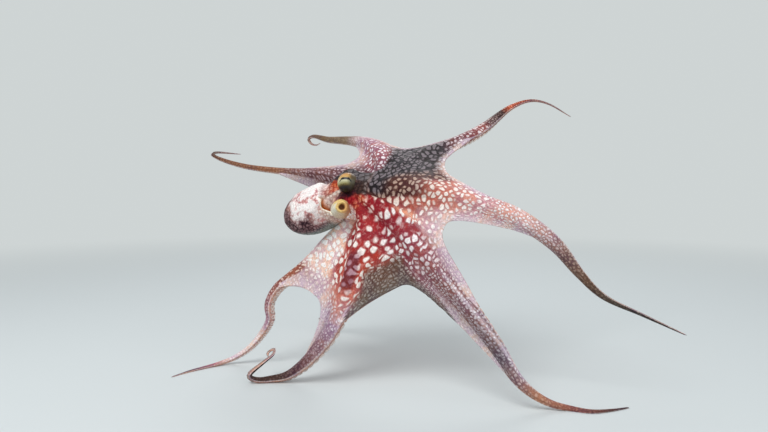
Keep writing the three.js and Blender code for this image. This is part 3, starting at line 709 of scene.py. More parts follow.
# The colours follow the animal's parts: for each arm, how its ground colour, the colour of its pale cells,
# their size (0 large to 3 small, 4 none), the width of the net between them, how full they are, and its
# streaks change from the mouth to the tip. Between two arms the webs take from both.
COLOURS = {
    "r1": [
        (0, (44, 36, 40), (132, 120, 124), 2.2, 0.08, 2.4, 0),
        (60, (46, 38, 41), (138, 126, 130), 1.2, 0.08, 2.4, 0),
        (105, (66, 48, 52), (176, 156, 162), 1.8, 0.08, 2.0, 0.1),
        (140, (120, 66, 66), (226, 208, 210), 2.2, 0.1, 1.4, 0.4),
        (185, (150, 78, 72), (238, 222, 220), 2.3, 0.1, 1.2, 0.6),
        (208, (70, 46, 46), (196, 172, 168), 2.7, 0.1, 0.6, 0.7),
        (235, (50, 36, 34), (120, 96, 88), 2.8, 0.1, 0.4, 0.6),
        (256, (176, 70, 44), (236, 166, 136), 2.7, 0.1, 0.8, 0.4),
        (300, (116, 52, 42), (176, 112, 96), 3, 0.1, 0.5, 0.4),
        (380, (84, 50, 50), (112, 76, 72), 3, 0.1, 0.4, 0.2)],
    "r2": [
        (0, (120, 40, 36), (226, 178, 150), 1.2, 0.09, 0.9, 0),
        (45, (146, 66, 58), (240, 216, 202), 1.2, 0.09, 1.2, 0),
        (100, (184, 108, 98), (246, 230, 220), 1.9, 0.08, 1.4, 0.2),
        (140, (212, 154, 146), (251, 240, 236), 2.3, 0.09, 1.3, 0.5),
        (175, (212, 160, 156), (250, 241, 240), 2.8, 0.1, 1.3, 0.8),
        (200, (212, 172, 170), (249, 241, 242), 3, 0.1, 1.1, 1.0),
        (235, (160, 122, 120), (220, 204, 206), 3, 0.1, 0.7, 1.0),
        (262, (118, 90, 84), (188, 164, 154), 3, 0.1, 0.5, 1.0),
        (300, (92, 72, 62), (146, 120, 104), 3, 0.1, 0.4, 0.8),
        (340, (66, 58, 54), (112, 102, 92), 3, 0.1, 0.4, 0.4),
        (432, (58, 50, 46), (92, 84, 74), 3, 0.1, 0.4, 0.2)],
    "r3": [
        (0, (156, 30, 38), (242, 200, 188), 0.8, 0.1, 1.2, 0),
        (40, (150, 36, 46), (249, 238, 234), 0.2, 0.1, 1.5, 0),
        (85, (152, 60, 68), (248, 238, 238), 0.8, 0.09, 1.4, 0.1),
        (110, (144, 78, 82), (232, 214, 216), 1.9, 0.09, 1.1, 0.4),
        (135, (140, 90, 92), (216, 198, 200), 2.8, 0.1, 0.9, 0.8),
        (180, (130, 92, 94), (206, 190, 194), 3, 0.1, 0.8, 1.0),
        (250, (98, 82, 86), (168, 158, 166), 3, 0.1, 0.6, 1.0),
        (282, (138, 104, 102), (206, 184, 182), 3, 0.1, 0.5, 0.9),
        (305, (168, 122, 102), (204, 164, 144), 3, 0.1, 0.5, 0.5),
        (345, (130, 84, 76), (168, 120, 106), 3, 0.1, 0.4, 0.4),
        (385, (80, 56, 56), (112, 86, 84), 3, 0.1, 0.3, 0.2),
        (415, (56, 42, 44), (80, 64, 64), 3, 0.1, 0.3, 0)],
    "r4": [
        (0, (160, 34, 38), (242, 204, 190), 0.8, 0.1, 1.2, 0),
        (40, (156, 40, 46), (249, 238, 232), 0.2, 0.1, 1.5, 0),
        (95, (186, 74, 56), (249, 236, 226), 0.3, 0.09, 1.5, 0),
        (118, (196, 122, 108), (242, 228, 222), 1.2, 0.12, 1.1, 0.4),
        (145, (170, 140, 152), (224, 212, 222), 2.8, 0.1, 0.8, 0.9),
        (180, (132, 98, 104), (196, 172, 176), 3, 0.1, 0.6, 0.9),
        (215, (94, 64, 68), (152, 126, 128), 3, 0.1, 0.4, 0.7),
        (250, (60, 42, 40), (108, 88, 82), 3, 0.1, 0.3, 0.4),
        (361, (54, 42, 38), (88, 74, 66), 3, 0.1, 0.3, 0.2)],
    "l4": [
        (0, (156, 36, 42), (244, 214, 204), 1.2, 0.1, 1.4, 0),
        (20, (168, 56, 56), (248, 228, 220), 1.2, 0.1, 1.5, 0),
        (36, (216, 160, 150), (251, 242, 238), 1.2, 0.1, 1.6, 0.1),
        (50, (222, 174, 164), (252, 244, 240), 1.3, 0.1, 1.6, 0.2),
        (100, (206, 150, 138), (246, 232, 226), 2.0, 0.12, 1.4, 0.3),
        (125, (150, 86, 66), (226, 196, 180), 2.2, 0.14, 1.0, 0.2),
        (175, (140, 84, 72), (214, 184, 176), 2.7, 0.12, 0.8, 0.2),
        (200, (150, 108, 114), (200, 176, 182), 2.9, 0.1, 0.5, 0.5),
        (225, (180, 146, 152), (218, 198, 204), 3, 0.1, 0.5, 0.4),
        (245, (236, 220, 216), (248, 240, 238), 3, 0.1, 0.6, 0.1),
        (295, (228, 208, 206), (242, 230, 228), 3, 0.1, 0.6, 0.2),
        (318, (170, 112, 118), (204, 150, 152), 3, 0.1, 0.4, 0.3),
        (350, (80, 58, 74), (116, 92, 104), 3, 0.1, 0.4, 0.2),
        (381, (68, 52, 64), (96, 80, 90), 3, 0.1, 0.4, 0)],
    "l3": [
        (0, (176, 72, 62), (228, 200, 190), 1.2, 0.15, 1.0, 0),
        (70, (160, 68, 60), (240, 222, 216), 1.2, 0.15, 1.2, 0.1),
        (140, (154, 94, 88), (222, 202, 200), 2.3, 0.12, 0.9, 0.5),
        (220, (134, 92, 94), (196, 172, 174), 2.8, 0.1, 0.6, 0.6),
        (300, (114, 78, 72), (170, 136, 128), 3, 0.1, 0.5, 0.4),
        (425, (84, 62, 58), (110, 88, 82), 3, 0.1, 0.3, 0.2)],
    "l2": [
        (0, (78, 48, 50), (180, 154, 152), 1.7, 0.12, 1.2, 0.1),
        (60, (90, 54, 56), (200, 180, 184), 2.1, 0.12, 1.0, 0.3),
        (110, (108, 68, 68), (196, 170, 176), 2.3, 0.11, 0.7, 0.7),
        (160, (122, 86, 80), (192, 168, 168), 2.8, 0.1, 0.5, 0.6),
        (190, (126, 86, 66), (176, 136, 114), 3, 0.1, 0.4, 0.4),
        (290, (110, 76, 60), (156, 118, 96), 3, 0.1, 0.4, 0.3),
        (330, (80, 64, 56), (116, 98, 86), 3, 0.1, 0.4, 0.2),
        (376, (120, 84, 90), (170, 140, 146), 3, 0.1, 0.4, 0)],
    "l1": [
        (0, (96, 64, 72), (200, 184, 190), 1.7, 0.12, 1.4, 0),
        (45, (152, 88, 96), (244, 232, 236), 1.9, 0.14, 1.3, 0.1),
        (90, (172, 122, 130), (242, 232, 238), 2.2, 0.12, 1.2, 0.3),
        (140, (180, 148, 150), (232, 222, 222), 2.7, 0.1, 0.8, 0.5),
        (180, (122, 100, 76), (180, 162, 136), 3, 0.1, 0.4, 0.4),
        (280, (108, 86, 66), (150, 130, 106), 3, 0.1, 0.4, 0.2),
        (373, (98, 72, 74), (150, 124, 128), 3, 0.1, 0.4, 0.1)],
}
# The pale hems are partly the webs' own colour and partly painted light, showing through their thin margins.
WEB_HEM = ((222, 204, 204), (244, 236, 236))
# The broad web's dark grey-brown and its hem's grey are partly their own colour and partly painted shade,
# where the web sags back between its arms.
BROAD_WEB = ((88, 70, 62), (160, 146, 138))  # the web between the two right arms that stand
BROAD_HEM = ((96, 86, 80), (158, 152, 146))
EDGE_LINE = ((206, 188, 196), (246, 240, 244))  # a pale line down the arm in front of that web
ROSY_WEB = ((240, 208, 196), (255, 250, 246))  # the next web, under the mantle
PALE_FOLD = ((224, 158, 136), (252, 240, 230))  # along the middle of the web before the broad one
MAROON = ((88, 32, 44), (164, 108, 126))  # a band on the arm behind the broad web
BACK_CELLS = ((30, 24, 27), (118, 107, 112))
BACK_EDGE = ((84, 40, 34), (196, 160, 138))
INNER = ((206, 164, 152), (236, 212, 200))


def linear(colours):
    share = np.asarray(colours, float) / 255
    return np.where(share < 0.04045, share / 12.92, ((share + 0.055) / 1.055) ** 2.4)


def paint_arm(k, along):
    """Ground and pale colour, and the other columns of an arm's colours, at distances along it."""
    reaches, *columns = zip(*[
        (reach, *linear(ground), *linear(pale), *rest) for reach, ground, pale, *rest in COLOURS[NAMES[k]]])
    return np.stack([np.interp(along, reaches, column) for column in columns], -1)


# For the cells of the skin the arms and webs are laid out flat round the mouth, as wide as they really are.
FLAT_BEARINGS = np.radians([0, 53, 88, 139, 184, 228, 272, 307, 360])
FLAT_START = 20  # of an arm's root from the middle of the layout
FLAT_EASE = 50  # past a web's notch, over which the free arm comes to lie at its own width
FLAT_BODY = 32  # behind the mouth, over which the layout draws in to its least share
FLAT_LEAST = 0.15
layout = np.zeros((len(points), 2))
for face in (0, 1):
    for k in range(len(ARMS)):
        grid = whole_grids[k][face]
        aside = facts["aside"][grid]
        reach = facts["along"][grid] + FLAT_START
        middle = grid.shape[1] // 2
        past_notch = facts["along"][grid[:, middle]] - facts["along"][grid[NOTCH_ROWS, middle]]
        stretch = np.ones_like(aside)
        for half, web, other, edge in (
                (slice(0, middle), k - 1, k - 1, 0), (slice(middle, None), k, (k + 1) % len(ARMS), -1)):
            facing = whole_grids[other][face][joined, -1 - edge]
            gap = FLAT_BEARINGS[web % len(ARMS) + 1] - FLAT_BEARINGS[web % len(ARMS)]
            width = np.abs(aside[:, edge][joined]) + np.abs(facts["aside"][facing])
            full = gap * reach[joined, middle] / width
            row = mix(1, full[-1], ease(FLAT_EASE, 0, past_notch))
            row[joined] = full
            stretch[:, half] = row[:, None]
        bearing = FLAT_BEARINGS[k] + aside * stretch / reach
        layout[grid] = np.stack([reach * np.cos(bearing), reach * np.sin(bearing)], -1)
inward = np.maximum(1 - facts["behind"][body_rows] / FLAT_BODY, FLAT_LEAST)
layout[body_rows[1:]] = layout[crown_edge] * inward[1:, :, None]

spots = points[used]
arm, along, behind, under, out, aside, pocket, rim, tube, _ = [values[used] for values in facts.values()]
skin_paint = np.zeros((len(used), 10))
for k in range(len(ARMS)):
    away = np.abs((arm - k + 4) % 8 - 4)
    skin_paint += paint_arm(k, along) * ease(0.75, 0.25, away)[:, None]


def lay(share, ground, pale, size, net, fill, streaks):
    """Lays other colours over the paint where share is above nought."""
    columns = [*linear(ground), *linear(pale), size, net, fill, streaks]
    over = np.stack([np.broadcast_to(column, len(skin_paint)) for column in columns], -1)
    skin_paint[:] = mix(skin_paint, over, share[:, None])


# The broad web and the rosy one, the fold and the band beside them, the hems of all the webs, and the dark
# cells on the back of the crown.
between = ease(0.1, 0.35, arm - 2) * ease(2.98, 2.86, arm)
edge_line = bell(aside, -8, 2.4) * (np.abs(arm - 2) < 0.5) * (under < 0.5)
edge_line *= ease(125, 155, along) * ease(315, 275, along)
lay(edge_line * 0.8, *EDGE_LINE, 3.0, 0.1, 0.8, 0.6)
# The broad web darkened, partly its own colour and partly painted shade where it sags back.
lay(between * ease(70, 92, along) * 0.95, *BROAD_WEB, 3.0, 0.1, 0.5, 1.0)
rosy = ease(0, 0.14, arm - np.interp(along, [20, 40, 60, 85], [3.7, 3.5, 3.28, 3.38]))
rosy *= ease(4.6, 4.3, arm) * ease(128, 105, along)
lay(rosy * 0.95, *ROSY_WEB, 1.2, 0.05, 2.4, 0.3)
lay(bell(arm, 1.6, 0.11) * ease(34, 60, along), *PALE_FOLD, 1.8, 0.12, 2.0, 0.6)
banded = (np.abs(arm - 3) < 0.5) * ease(52, 64, along) * ease(112, 98, along)
banded = banded * ease(-19, -14, aside) * ease(4, -1, aside)
lay(banded * 0.85, *MAROON, 0.8, 0.12, 0.7, 0.1)
hem_start = np.where((arm > 7) | (arm < 1), 0.86, 0.6)
hem_start = np.where(between > 0, 0.8, hem_start)
hem = np.clip((out - hem_start) / (0.98 - hem_start), 0, 1) * 0.9
# Paler towards the webs' edges: partly their own colour, partly painted light through the thin skin.
lay(hem * (between == 0), *WEB_HEM, 2.6, 0.12, 0.5, 0.5)
# The broad web's grey hem: partly its own colour, partly painted shade.
lay(hem * (between > 0), *BROAD_HEM, 2.7, 0.12, 0.5, 0.8)
from_back = (arm + 4) % 8 - 4 + along / 300 - 0.25 * ease(45, 12, along)
dorsal = ease(-0.6, -0.2, from_back) * ease(1.32, 1.16, from_back) * ease(125, 96, along)
lay(dorsal * (1 - hem), *BACK_CELLS, mix(2.0, 1.3, ease(40, 85, along)), 0.08, 2.0, 0)
lay(dorsal * (1 - hem) * ease(0.8, 1.2, from_back) * 0.7, *BACK_EDGE, 1.6, 0.12, 1.8, 0)

bearing = np.abs((FIRST_BEARING + ARM_SPACING * arm + 180) % 360 - 180)
on_body = ease(2, 12, behind)
not_tube = ease(FUNNEL_MARK, FUNNEL_MARK / 2, tube)


def wavering(*waves):
    """Soft noise at every spot, as a sum of waves that each have a size and a share."""
    return np.array([sum(share * noise.noise(spot / size) for size, share in waves) for spot in spots])


ragged = wavering((13, 1), (5, 0.5))


def patch(at, turned, length, width):
    """Share of a soft round patch on the body at a distance behind the mouth and a bearing."""
    away = np.hypot((behind - at) / length, (bearing - turned) / width)
    return on_body * ease(1.3, 0.7, away + 0.25 * ragged)


def by_eye(ahead, above, length, height):
    """Share of a soft patch beside each eye, placed from the eye's middle."""
    share = np.zeros(len(used))
    for name, direction in eye_axes.items():
        away = spots - SHIFT - eye_centres[name]
        forward, upward, outward = [dot(away, line)[:, 0] for line in (-TAILWARD, eye_up, direction)]
        reach = np.hypot((forward - ahead) / length, (upward - above) / height) + 0.25 * ragged
        share = np.maximum(share, ease(1.3, 0.7, reach) * ease(-22, -14, outward))
    return share * not_tube


# Low folds all over the skin, deepest on the neck and gone on the arms' ends, the inner faces and the funnel.
ARM_FOLDS = 0.3
BODY_FOLDS = 0.65
NECK_FOLDS = 0.7
normals = np.array([corner.normal for corner in mesh.vertices])
depth = mix(ARM_FOLDS * ease(260, 160, along), BODY_FOLDS, on_body)
depth = depth + NECK_FOLDS * ease(40, 48, behind) * ease(66, 58, behind)
depth = depth * not_tube * (1 - under)
folded = spots + normals * (depth * wavering((10, 1), (4.5, 0.6)))[:, None]
mesh.vertices.foreach_set("co", (folded / 1000).astype(np.float32).ravel())
mesh.update()

# The head: red and crimson below, dark grey on the crown and brow, nearly black beside and under the eye, the
# dark right under the ball partly painted shade, orange behind it. Then the wrinkled neck, and the mantle,
# white and pink above and dark below.
lay(on_body, (150, 44, 44), (214, 132, 112), 2.0, 0.12, 0.5, 0)
crown = ease(2, 6, behind) * ease(26, 18, behind)
lay(crown * ease(104, 92, bearing), (50, 36, 36), (128, 112, 108), 2.2, 0.12, 1.8, 0)
lay(on_body * ease(72, 56, bearing), (54, 48, 50), (106, 99, 101), 1.8, 0.12, 1.2, 0)
lay(patch(17, 82, 8, 28), (44, 28, 26), (76, 56, 50), 3.2, 0.12, 0.4, 0)
lay(patch(5, 112, 7, 13), (206, 62, 42), (250, 190, 150), 2.2, 0.12, 0.8, 0)
lay(patch(4, 146, 6, 8), (204, 84, 54), (246, 170, 130), 1.8, 0.12, 1.0, 0)
lay(on_body * ease(154, 160, bearing) * ease(50, 40, behind),
    (238, 202, 190), (254, 247, 242), 2.7, 0.1, 2.0, 0.3)
lay(patch(44, 80, 6, 34), (158, 60, 38), (220, 130, 96), 2.4, 0.12, 0.5, 0)
lay(ease(44, 50, behind) * ease(120, 100, bearing), (150, 70, 58), (240, 204, 190), 3.4, 0.12, 0.4, 1.0)
lay(patch(48, 88, 7, 20), (176, 60, 38), (238, 168, 140), 3.2, 0.12, 0.4, 0.9)
lay(ease(53, 56, behind) * ease(78, 88, bearing), (206, 160, 146), (252, 242, 232), 3.6, 0.12, 0.8, 0.8)
lay(ease(46, 56, behind) * ease(60, 30, bearing), (196, 140, 134), (246, 232, 226), 3.6, 0.12, 0.8, 0.6)
lay(by_eye(3, -22, 15, 8), (150, 30, 42), (190, 74, 78), 2.6, 0.12, 0.4, 0)
# Right under each eye a nearly black patch, partly the dark skin of the eye's turret and partly painted shade
# below the ball.
lay(by_eye(1, -14.5, 13, 5), (44, 20, 30), (80, 36, 48), 3.2, 0.12, 0.3, 0)
mantle = ease(56, 63, behind)
lay(mantle, (56, 32, 38), (158, 122, 124), 2.7, 0.16, 0.6, 0)
lit = ease(122, 92, bearing + 16 * ragged) * ease(122, 102, behind + 8 * ragged)
lit = np.maximum(lit, 0.8 * ease(94, 76, behind + 8 * ragged) * ease(150, 130, bearing))
lay(mantle * lit, (214, 158, 148), (251, 243, 239), 4.0, 0.12, 0.9, 0.8)
lay(mantle * lit * ease(0.05, 0.4, ragged) * 0.7, (192, 118, 118), (244, 222, 218), 2.8, 0.12, 0.7, 0.7)
lay(mantle * ease(140, 165, bearing), (112, 124, 122), (160, 168, 164), 2.6, 0.12, 0.6, 0)
lay(mantle * ease(74, 62, behind) * ease(96, 118, bearing),
    (196, 168, 158), (238, 224, 212), 3.2, 0.12, 0.8, 0.5)
lay(under, *INNER, 2.6, 0.12, 0.4, 0.4)
lay(pocket, (190, 84, 26), (226, 136, 66), 3.8, 0.12, 0.5, 0)
lay(rim, (230, 208, 176), (246, 236, 216), 3.8, 0.12, 0.8, 0)

# The funnel: cream on its near side, yellower above, tan in front, with a pale yellow lip round its brown
# hollow. The tan front, the lip's browner front and the duller underside are partly its own colour and partly
# painted shade, away from the lamp high on the left.
tube_side = unit(np.where(distance[used] > 0.1, spoke[used], 1.0))
upper = tube_side[:, 2]
ahead = tube_side[:, 0] - 0.3 * upper
on_tube = ease(FUNNEL_MARK / 2, FUNNEL_MARK, tube)
lip = ease(0.69, 0.78, tube)
for share, ground, pale, fill in [
        (on_tube, (206, 202, 178), (240, 236, 218), 0.6),
        (on_tube * ease(0.2, 0.9, upper + 0.3 * ragged), (216, 176, 92), (238, 212, 150), 0.5),
        # The tan front and, on the next line, the duller underside lie away from the lamp: partly the
        # funnel's own colour, partly painted shade.
        (on_tube * ease(0.3, 0.8, ahead), (176, 122, 78), (206, 158, 112), 0.5),
        (on_tube * ease(-0.3, -0.9, upper) * 0.7, (182, 156, 122), (214, 190, 158), 0.5),
        (lip, (208, 166, 98), (234, 204, 140), 0.5),
        # The lip's browner front: partly its own colour, partly painted shade.
        (lip * ease(0, 0.8, ahead) * 0.7, (180, 124, 80), (208, 160, 112), 0.5),
        (ease(0.86, 0.92, tube), (120, 80, 58), (152, 108, 80), 0.4)]:
    lay(share, ground, pale, 3.8, 0.12, fill, 0)

# Between the net and the middle of a pale cell lies a band of a third colour, between the two and richer.
MIDDLE_SHARE = 0.3
MIDDLE_RICHNESS = 1.3
ground, pale = skin_paint[:, 0:3], skin_paint[:, 3:6]
middle = mix(ground, pale, MIDDLE_SHARE)
middle = np.clip(mix(middle.mean(1, keepdims=True), middle, MIDDLE_RICHNESS), 0, 1)

# The streaks follow how a place lies along and across its arm or the body, and fade between two arms.
on_arm = behind <= 0
streaked = np.where(on_arm, ease(0.5, 0.4, np.abs((arm + 0.5) % 1 - 0.5)), 1)
lie = np.where(on_arm, (along, aside, np.round(arm) * 100), (behind, bearing * 0.55, behind * 0 - 200))


def store(mesh, name, values):
    """Keeps a value, or a colour or vector of three, for every point of a mesh."""
    kind, key = ("FLOAT", "value") if values.ndim == 1 else ("FLOAT_VECTOR", "vector")
    mesh.attributes.new(name, kind, "POINT").data.foreach_set(key, values.astype(np.float32).ravel())


for name, values in [
        ("ground", ground), ("middle", middle), ("pale", pale), ("cell_size", skin_paint[:, 6]),
        ("net", skin_paint[:, 7]), ("fill", skin_paint[:, 8]), ("streaks", skin_paint[:, 9] * streaked),
        ("lie", lie.T / 1000), ("flat", np.pad(layout[used], ((0, 0), (0, 1))) / 1000),
        ("body", ease(0, 9, behind) + ease(0, FUNNEL_MARK / 2, tube))]:
    store(mesh, name, values)

# The skin's pale cells are scattered in four sizes, in the flat layout on the arms and webs and in space on
# the head and mantle. Each is a rounded patch in a net of the ground colour. Streaks run along the arms.
CELLS = [(0.0135, 0.37), (0.0098, 0.41), (0.0070, 0.41), (0.0046, 0.41)]  # spacing, reach on the arms
CELL_REACH = 0.62  # on the head and mantle
CELL_SCATTER = 0.75
CELL_WANDER = 0.006  # how far soft noise shifts and bends them


def times(material, a, b):
    return reckon(material, "MULTIPLY", a, b)


def move(material, operation, a, b):
    place = wire(material, "ShaderNodeVectorMath", {0: a}, operation=operation)
    socket = place.inputs["Scale"] if operation == "SCALE" else place.inputs[1]
    if isinstance(b, bpy.types.NodeSocket):
        material.node_tree.links.new(b, socket)
    else:
        socket.default_value = b
    return place.outputs[0]


def stored(material, name, output="Fac"):
    return wire(material, "ShaderNodeAttribute", attribute_name=name).outputs[output]


def blend(material, share, a, b, kind="MIX"):
    return wire(material, "ShaderNodeMix", {0: share, 6: a, 7: b}, data_type="RGBA", blend_type=kind,
                clamp_factor=True).outputs[2]


def choose(material, share, a, b):
    return wire(material, "ShaderNodeMix", {0: share, 2: a, 3: b}).outputs[0]


def mottle(material, vector, scale, detail=3.0, roughness=0.5):
    return wire(material, "ShaderNodeTexNoise", {"Vector": vector, "Scale": scale, "Detail": detail,
                                                 "Roughness": roughness}).outputs[0]


def cells(material, vector, spacing, reach, dimensions):
    """Rounded cells, scattered at a spacing: how far inside one a place is, and a shade for each cell."""
    inputs = {"Vector": vector, "Scale": 1 / spacing, "Randomness": CELL_SCATTER}
    nearest = wire(material, "ShaderNodeTexVoronoi", inputs, voronoi_dimensions=dimensions).outputs
    from_edge = wire(material, "ShaderNodeTexVoronoi", inputs, voronoi_dimensions=dimensions,
                     feature="DISTANCE_TO_EDGE").outputs[0]
    tone = wire(material, "ShaderNodeSeparateColor", {0: nearest[1]}).outputs[0]
    reach = reckon(material, "MULTIPLY_ADD", tone, 0.2, reach)
    from_round = reckon(material, "SUBTRACT", reach, nearest[0])
    return reckon(material, "SMOOTH_MIN", from_edge, from_round, 0.2), tone


def shaded(material, colour, factor):
    """A colour made darker or lighter by a factor."""
    grey = wire(material, "ShaderNodeCombineColor", {0: factor, 1: factor, 2: factor}).outputs[0]
    return blend(material, 1.0, colour, grey, "MULTIPLY")


def dress(material, colour, roughness, relief, strength, height, settings):
    """Gives a material's surface its colour, roughness and relief, and its other settings."""
    inputs = {"Strength": strength, "Distance": height, "Height": relief}
    bump = wire(material, "ShaderNodeBump", inputs).outputs[0]
    surface = material.node_tree.nodes["Principled BSDF"]
    for name, value in (("Base Color", colour), ("Roughness", roughness), ("Normal", bump)):
        material.node_tree.links.new(value, surface.inputs[name])
    for name, value in settings.items():
        surface.inputs[name].default_value = value


hide = new_material("octopus_skin")
skin_at = wire(hide, "ShaderNodeTexCoord").outputs["Object"]
wander = wire(hide, "ShaderNodeTexNoise", {"Vector": skin_at, "Scale": 110.0, "Detail": 1.0}).outputs[1]
wander = move(hide, "SCALE", move(hide, "SUBTRACT", wander, (0.5, 0.5, 0.5)), CELL_WANDER)
warped = move(hide, "ADD", skin_at, wander)
laid_flat = move(hide, "ADD", stored(hide, "flat", "Vector"), wander)
cell_size, trunk, net_width, fill, streaks = [
    stored(hide, name) for name in ("cell_size", "body", "net", "fill", "streaks")]
ground, middle, pale = [stored(hide, name, "Color") for name in ("ground", "middle", "pale")]

inside, tone = None, None
for n, (spacing, reach) in enumerate(CELLS):
    on_arms = cells(hide, laid_flat, spacing, reach, "2D")
    on_trunk = cells(hide, warped, spacing, CELL_REACH, "3D")
    layer = [choose(hide, trunk, flat_one, round_one) for flat_one, round_one in zip(on_arms, on_trunk)]
    if n:
        smaller = rise(hide, cell_size, n - 0.65, n - 0.35)
        layer = [choose(hide, smaller, before, here) for before, here in zip((inside, tone), layer)]
    inside, tone = layer
inset = reckon(hide, "SUBTRACT", inside, times(hide, net_width, choose(hide, trunk, 1.0, 0.5)))
plain = rise(hide, cell_size, 3.1, 3.9)
net = choose(hide, plain, rise(hide, inset, -0.07, 0.1), 1)
core = choose(hide, plain, rise(hide, inset, -0.02, 0.2, 0.15, 1.0), 1)
tone = choose(hide, plain, tone, 0.7)
fill = times(hide, times(hide, fill, rise(hide, tone, 0.0, 0.7, 0.35, 1.35)), core)

patches = rise(hide, mottle(hide, skin_at, 45.0), 0.42, 0.6)
warmth = blend(hide, patches, (0.88, 0.8, 0.98, 1), (1.12, 0.98, 0.84, 1))
ground = blend(hide, 1.0, ground, warmth, "MULTIPLY")
tinge = times(hide, rise(hide, mottle(hide, warped, 260.0, 2.0), 0.5, 0.66), 0.5)
ground = blend(hide, tinge, ground, middle)
colour = blend(hide, net, ground, blend(hide, fill, middle, pale))
stretched = {"Vector": stored(hide, "lie", "Vector"), "Scale": (40, 420, 9)}
grain = mottle(hide, wire(hide, "ShaderNodeMapping", stretched).outputs[0], 1.0, 4.0, 0.6)
for low, high, over in ((0.52, 0.66, pale), (0.48, 0.34, ground)):
    streak = times(hide, rise(hide, grain, low, high), streaks)
    colour = blend(hide, times(hide, streak, 0.6), colour, over)
colour = shaded(hide, colour, rise(hide, mottle(hide, warped, 420.0, 4.0, 0.65), 0.35, 0.68, 0.8, 1.14))
fine = times(hide, mottle(hide, warped, 300.0, 5.0, 0.6), 0.6)
relief = reckon(hide, "MULTIPLY_ADD", net, 0.7, fine)
roughness = rise(hide, mottle(hide, skin_at, 160.0), 0.3, 0.7, 0.42, 0.62)
dress(hide, colour, roughness, relief, 0.6, 0.0012, {"Specular IOR Level": 0.12})
skin.data.materials.append(hide)

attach(skin, "root")
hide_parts(*[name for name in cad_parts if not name.startswith("eye_")])

# ---- Suckers ----
# Two rows of soft cups along the inner face of every arm, largest a third of the way out and tiny at the
# tip. Each is a short stalk that flares to a round rim with a hollow inside it.
SUCKER_SIDES = 8
SUCKER_STEPS = [(0.3, 1.32), (0.16, 1.22), (0.1, 0.86), (-0.16, 0.62), (-0.2, 0.5)]  # rise, change of width
SUCKER_FOOT = 0.62
SUCKER_SINK = 0.3
SUCKER_SIZE = 0.42  # radius, of the arm's half width
SUCKER_PITCH = 2.12  # along a row, in radii
SUCKER_ASIDE = 35  # from the middle of the arm's inner face, in degrees
SUCKER_START = 16
SUCKER_LEAST = 0.45
SUCKER_GROWN = 90  # along an arm, where its suckers have come to their full share of its width
SUCKER_END = 3  # before an arm's tip
MOUTH_SHARE = 0.5  # of the full size, beside the mouth
SUCKER_FLESH = (226, 196, 182)
SUCKER_RIM = (240, 224, 212)
SUCKER_HOLLOW = (150, 96, 84)

bpy.ops.object.select_all(action="DESELECT")
bpy.ops.mesh.primitive_circle_add(vertices=SUCKER_SIDES, radius=SUCKER_FOOT, location=(0, 0, -SUCKER_SINK))
pattern = bpy.context.object
bpy.ops.object.mode_set(mode="EDIT")
height = -SUCKER_SINK
for lift, flare in SUCKER_STEPS:
    height += lift
    bpy.ops.mesh.extrude_region_move(TRANSFORM_OT_translate={"value": (0, 0, lift)})
    bpy.ops.transform.resize(value=(flare, flare, 1), center_override=(0, 0, height))
bpy.ops.mesh.edge_face_add()
bpy.ops.mesh.poke()
bpy.ops.object.mode_set(mode="OBJECT")
cup = np.array([pattern.matrix_world @ corner.co for corner in pattern.data.vertices])
cup_faces = [list(face.vertices) for face in pattern.data.polygons]
cup_rings = len(SUCKER_STEPS) + 1
cup_ring = np.minimum(np.arange(len(cup)) // SUCKER_SIDES, cup_rings) / cup_rings
bpy.data.objects.remove(pattern)

flesh = new_material("sucker_flesh")
flesh_at = wire(flesh, "ShaderNodeTexCoord").outputs["Object"]
ring = stored(flesh, "ring")
tint, edge, hollow = [stored(flesh, name, "Color") for name in ("tint", "rim", "hollow")]
colour = blend(flesh, rise(flesh, ring, 0.2, 0.5), tint, edge)
colour = blend(flesh, rise(flesh, ring, 0.55, 1.0), colour, hollow)
colour = shaded(flesh, colour, rise(flesh, mottle(flesh, flesh_at, 700.0, 4.0, 0.6), 0.35, 0.65, 0.82, 1.12))
creases = mottle(flesh, flesh_at, 900.0, 3.0, 0.6)
dress(flesh, colour, rise(flesh, creases, 0.3, 0.7, 0.3, 0.5), creases, 0.4, 0.0004,
      {"Coat Weight": 0.2, "Coat Roughness": 0.2})

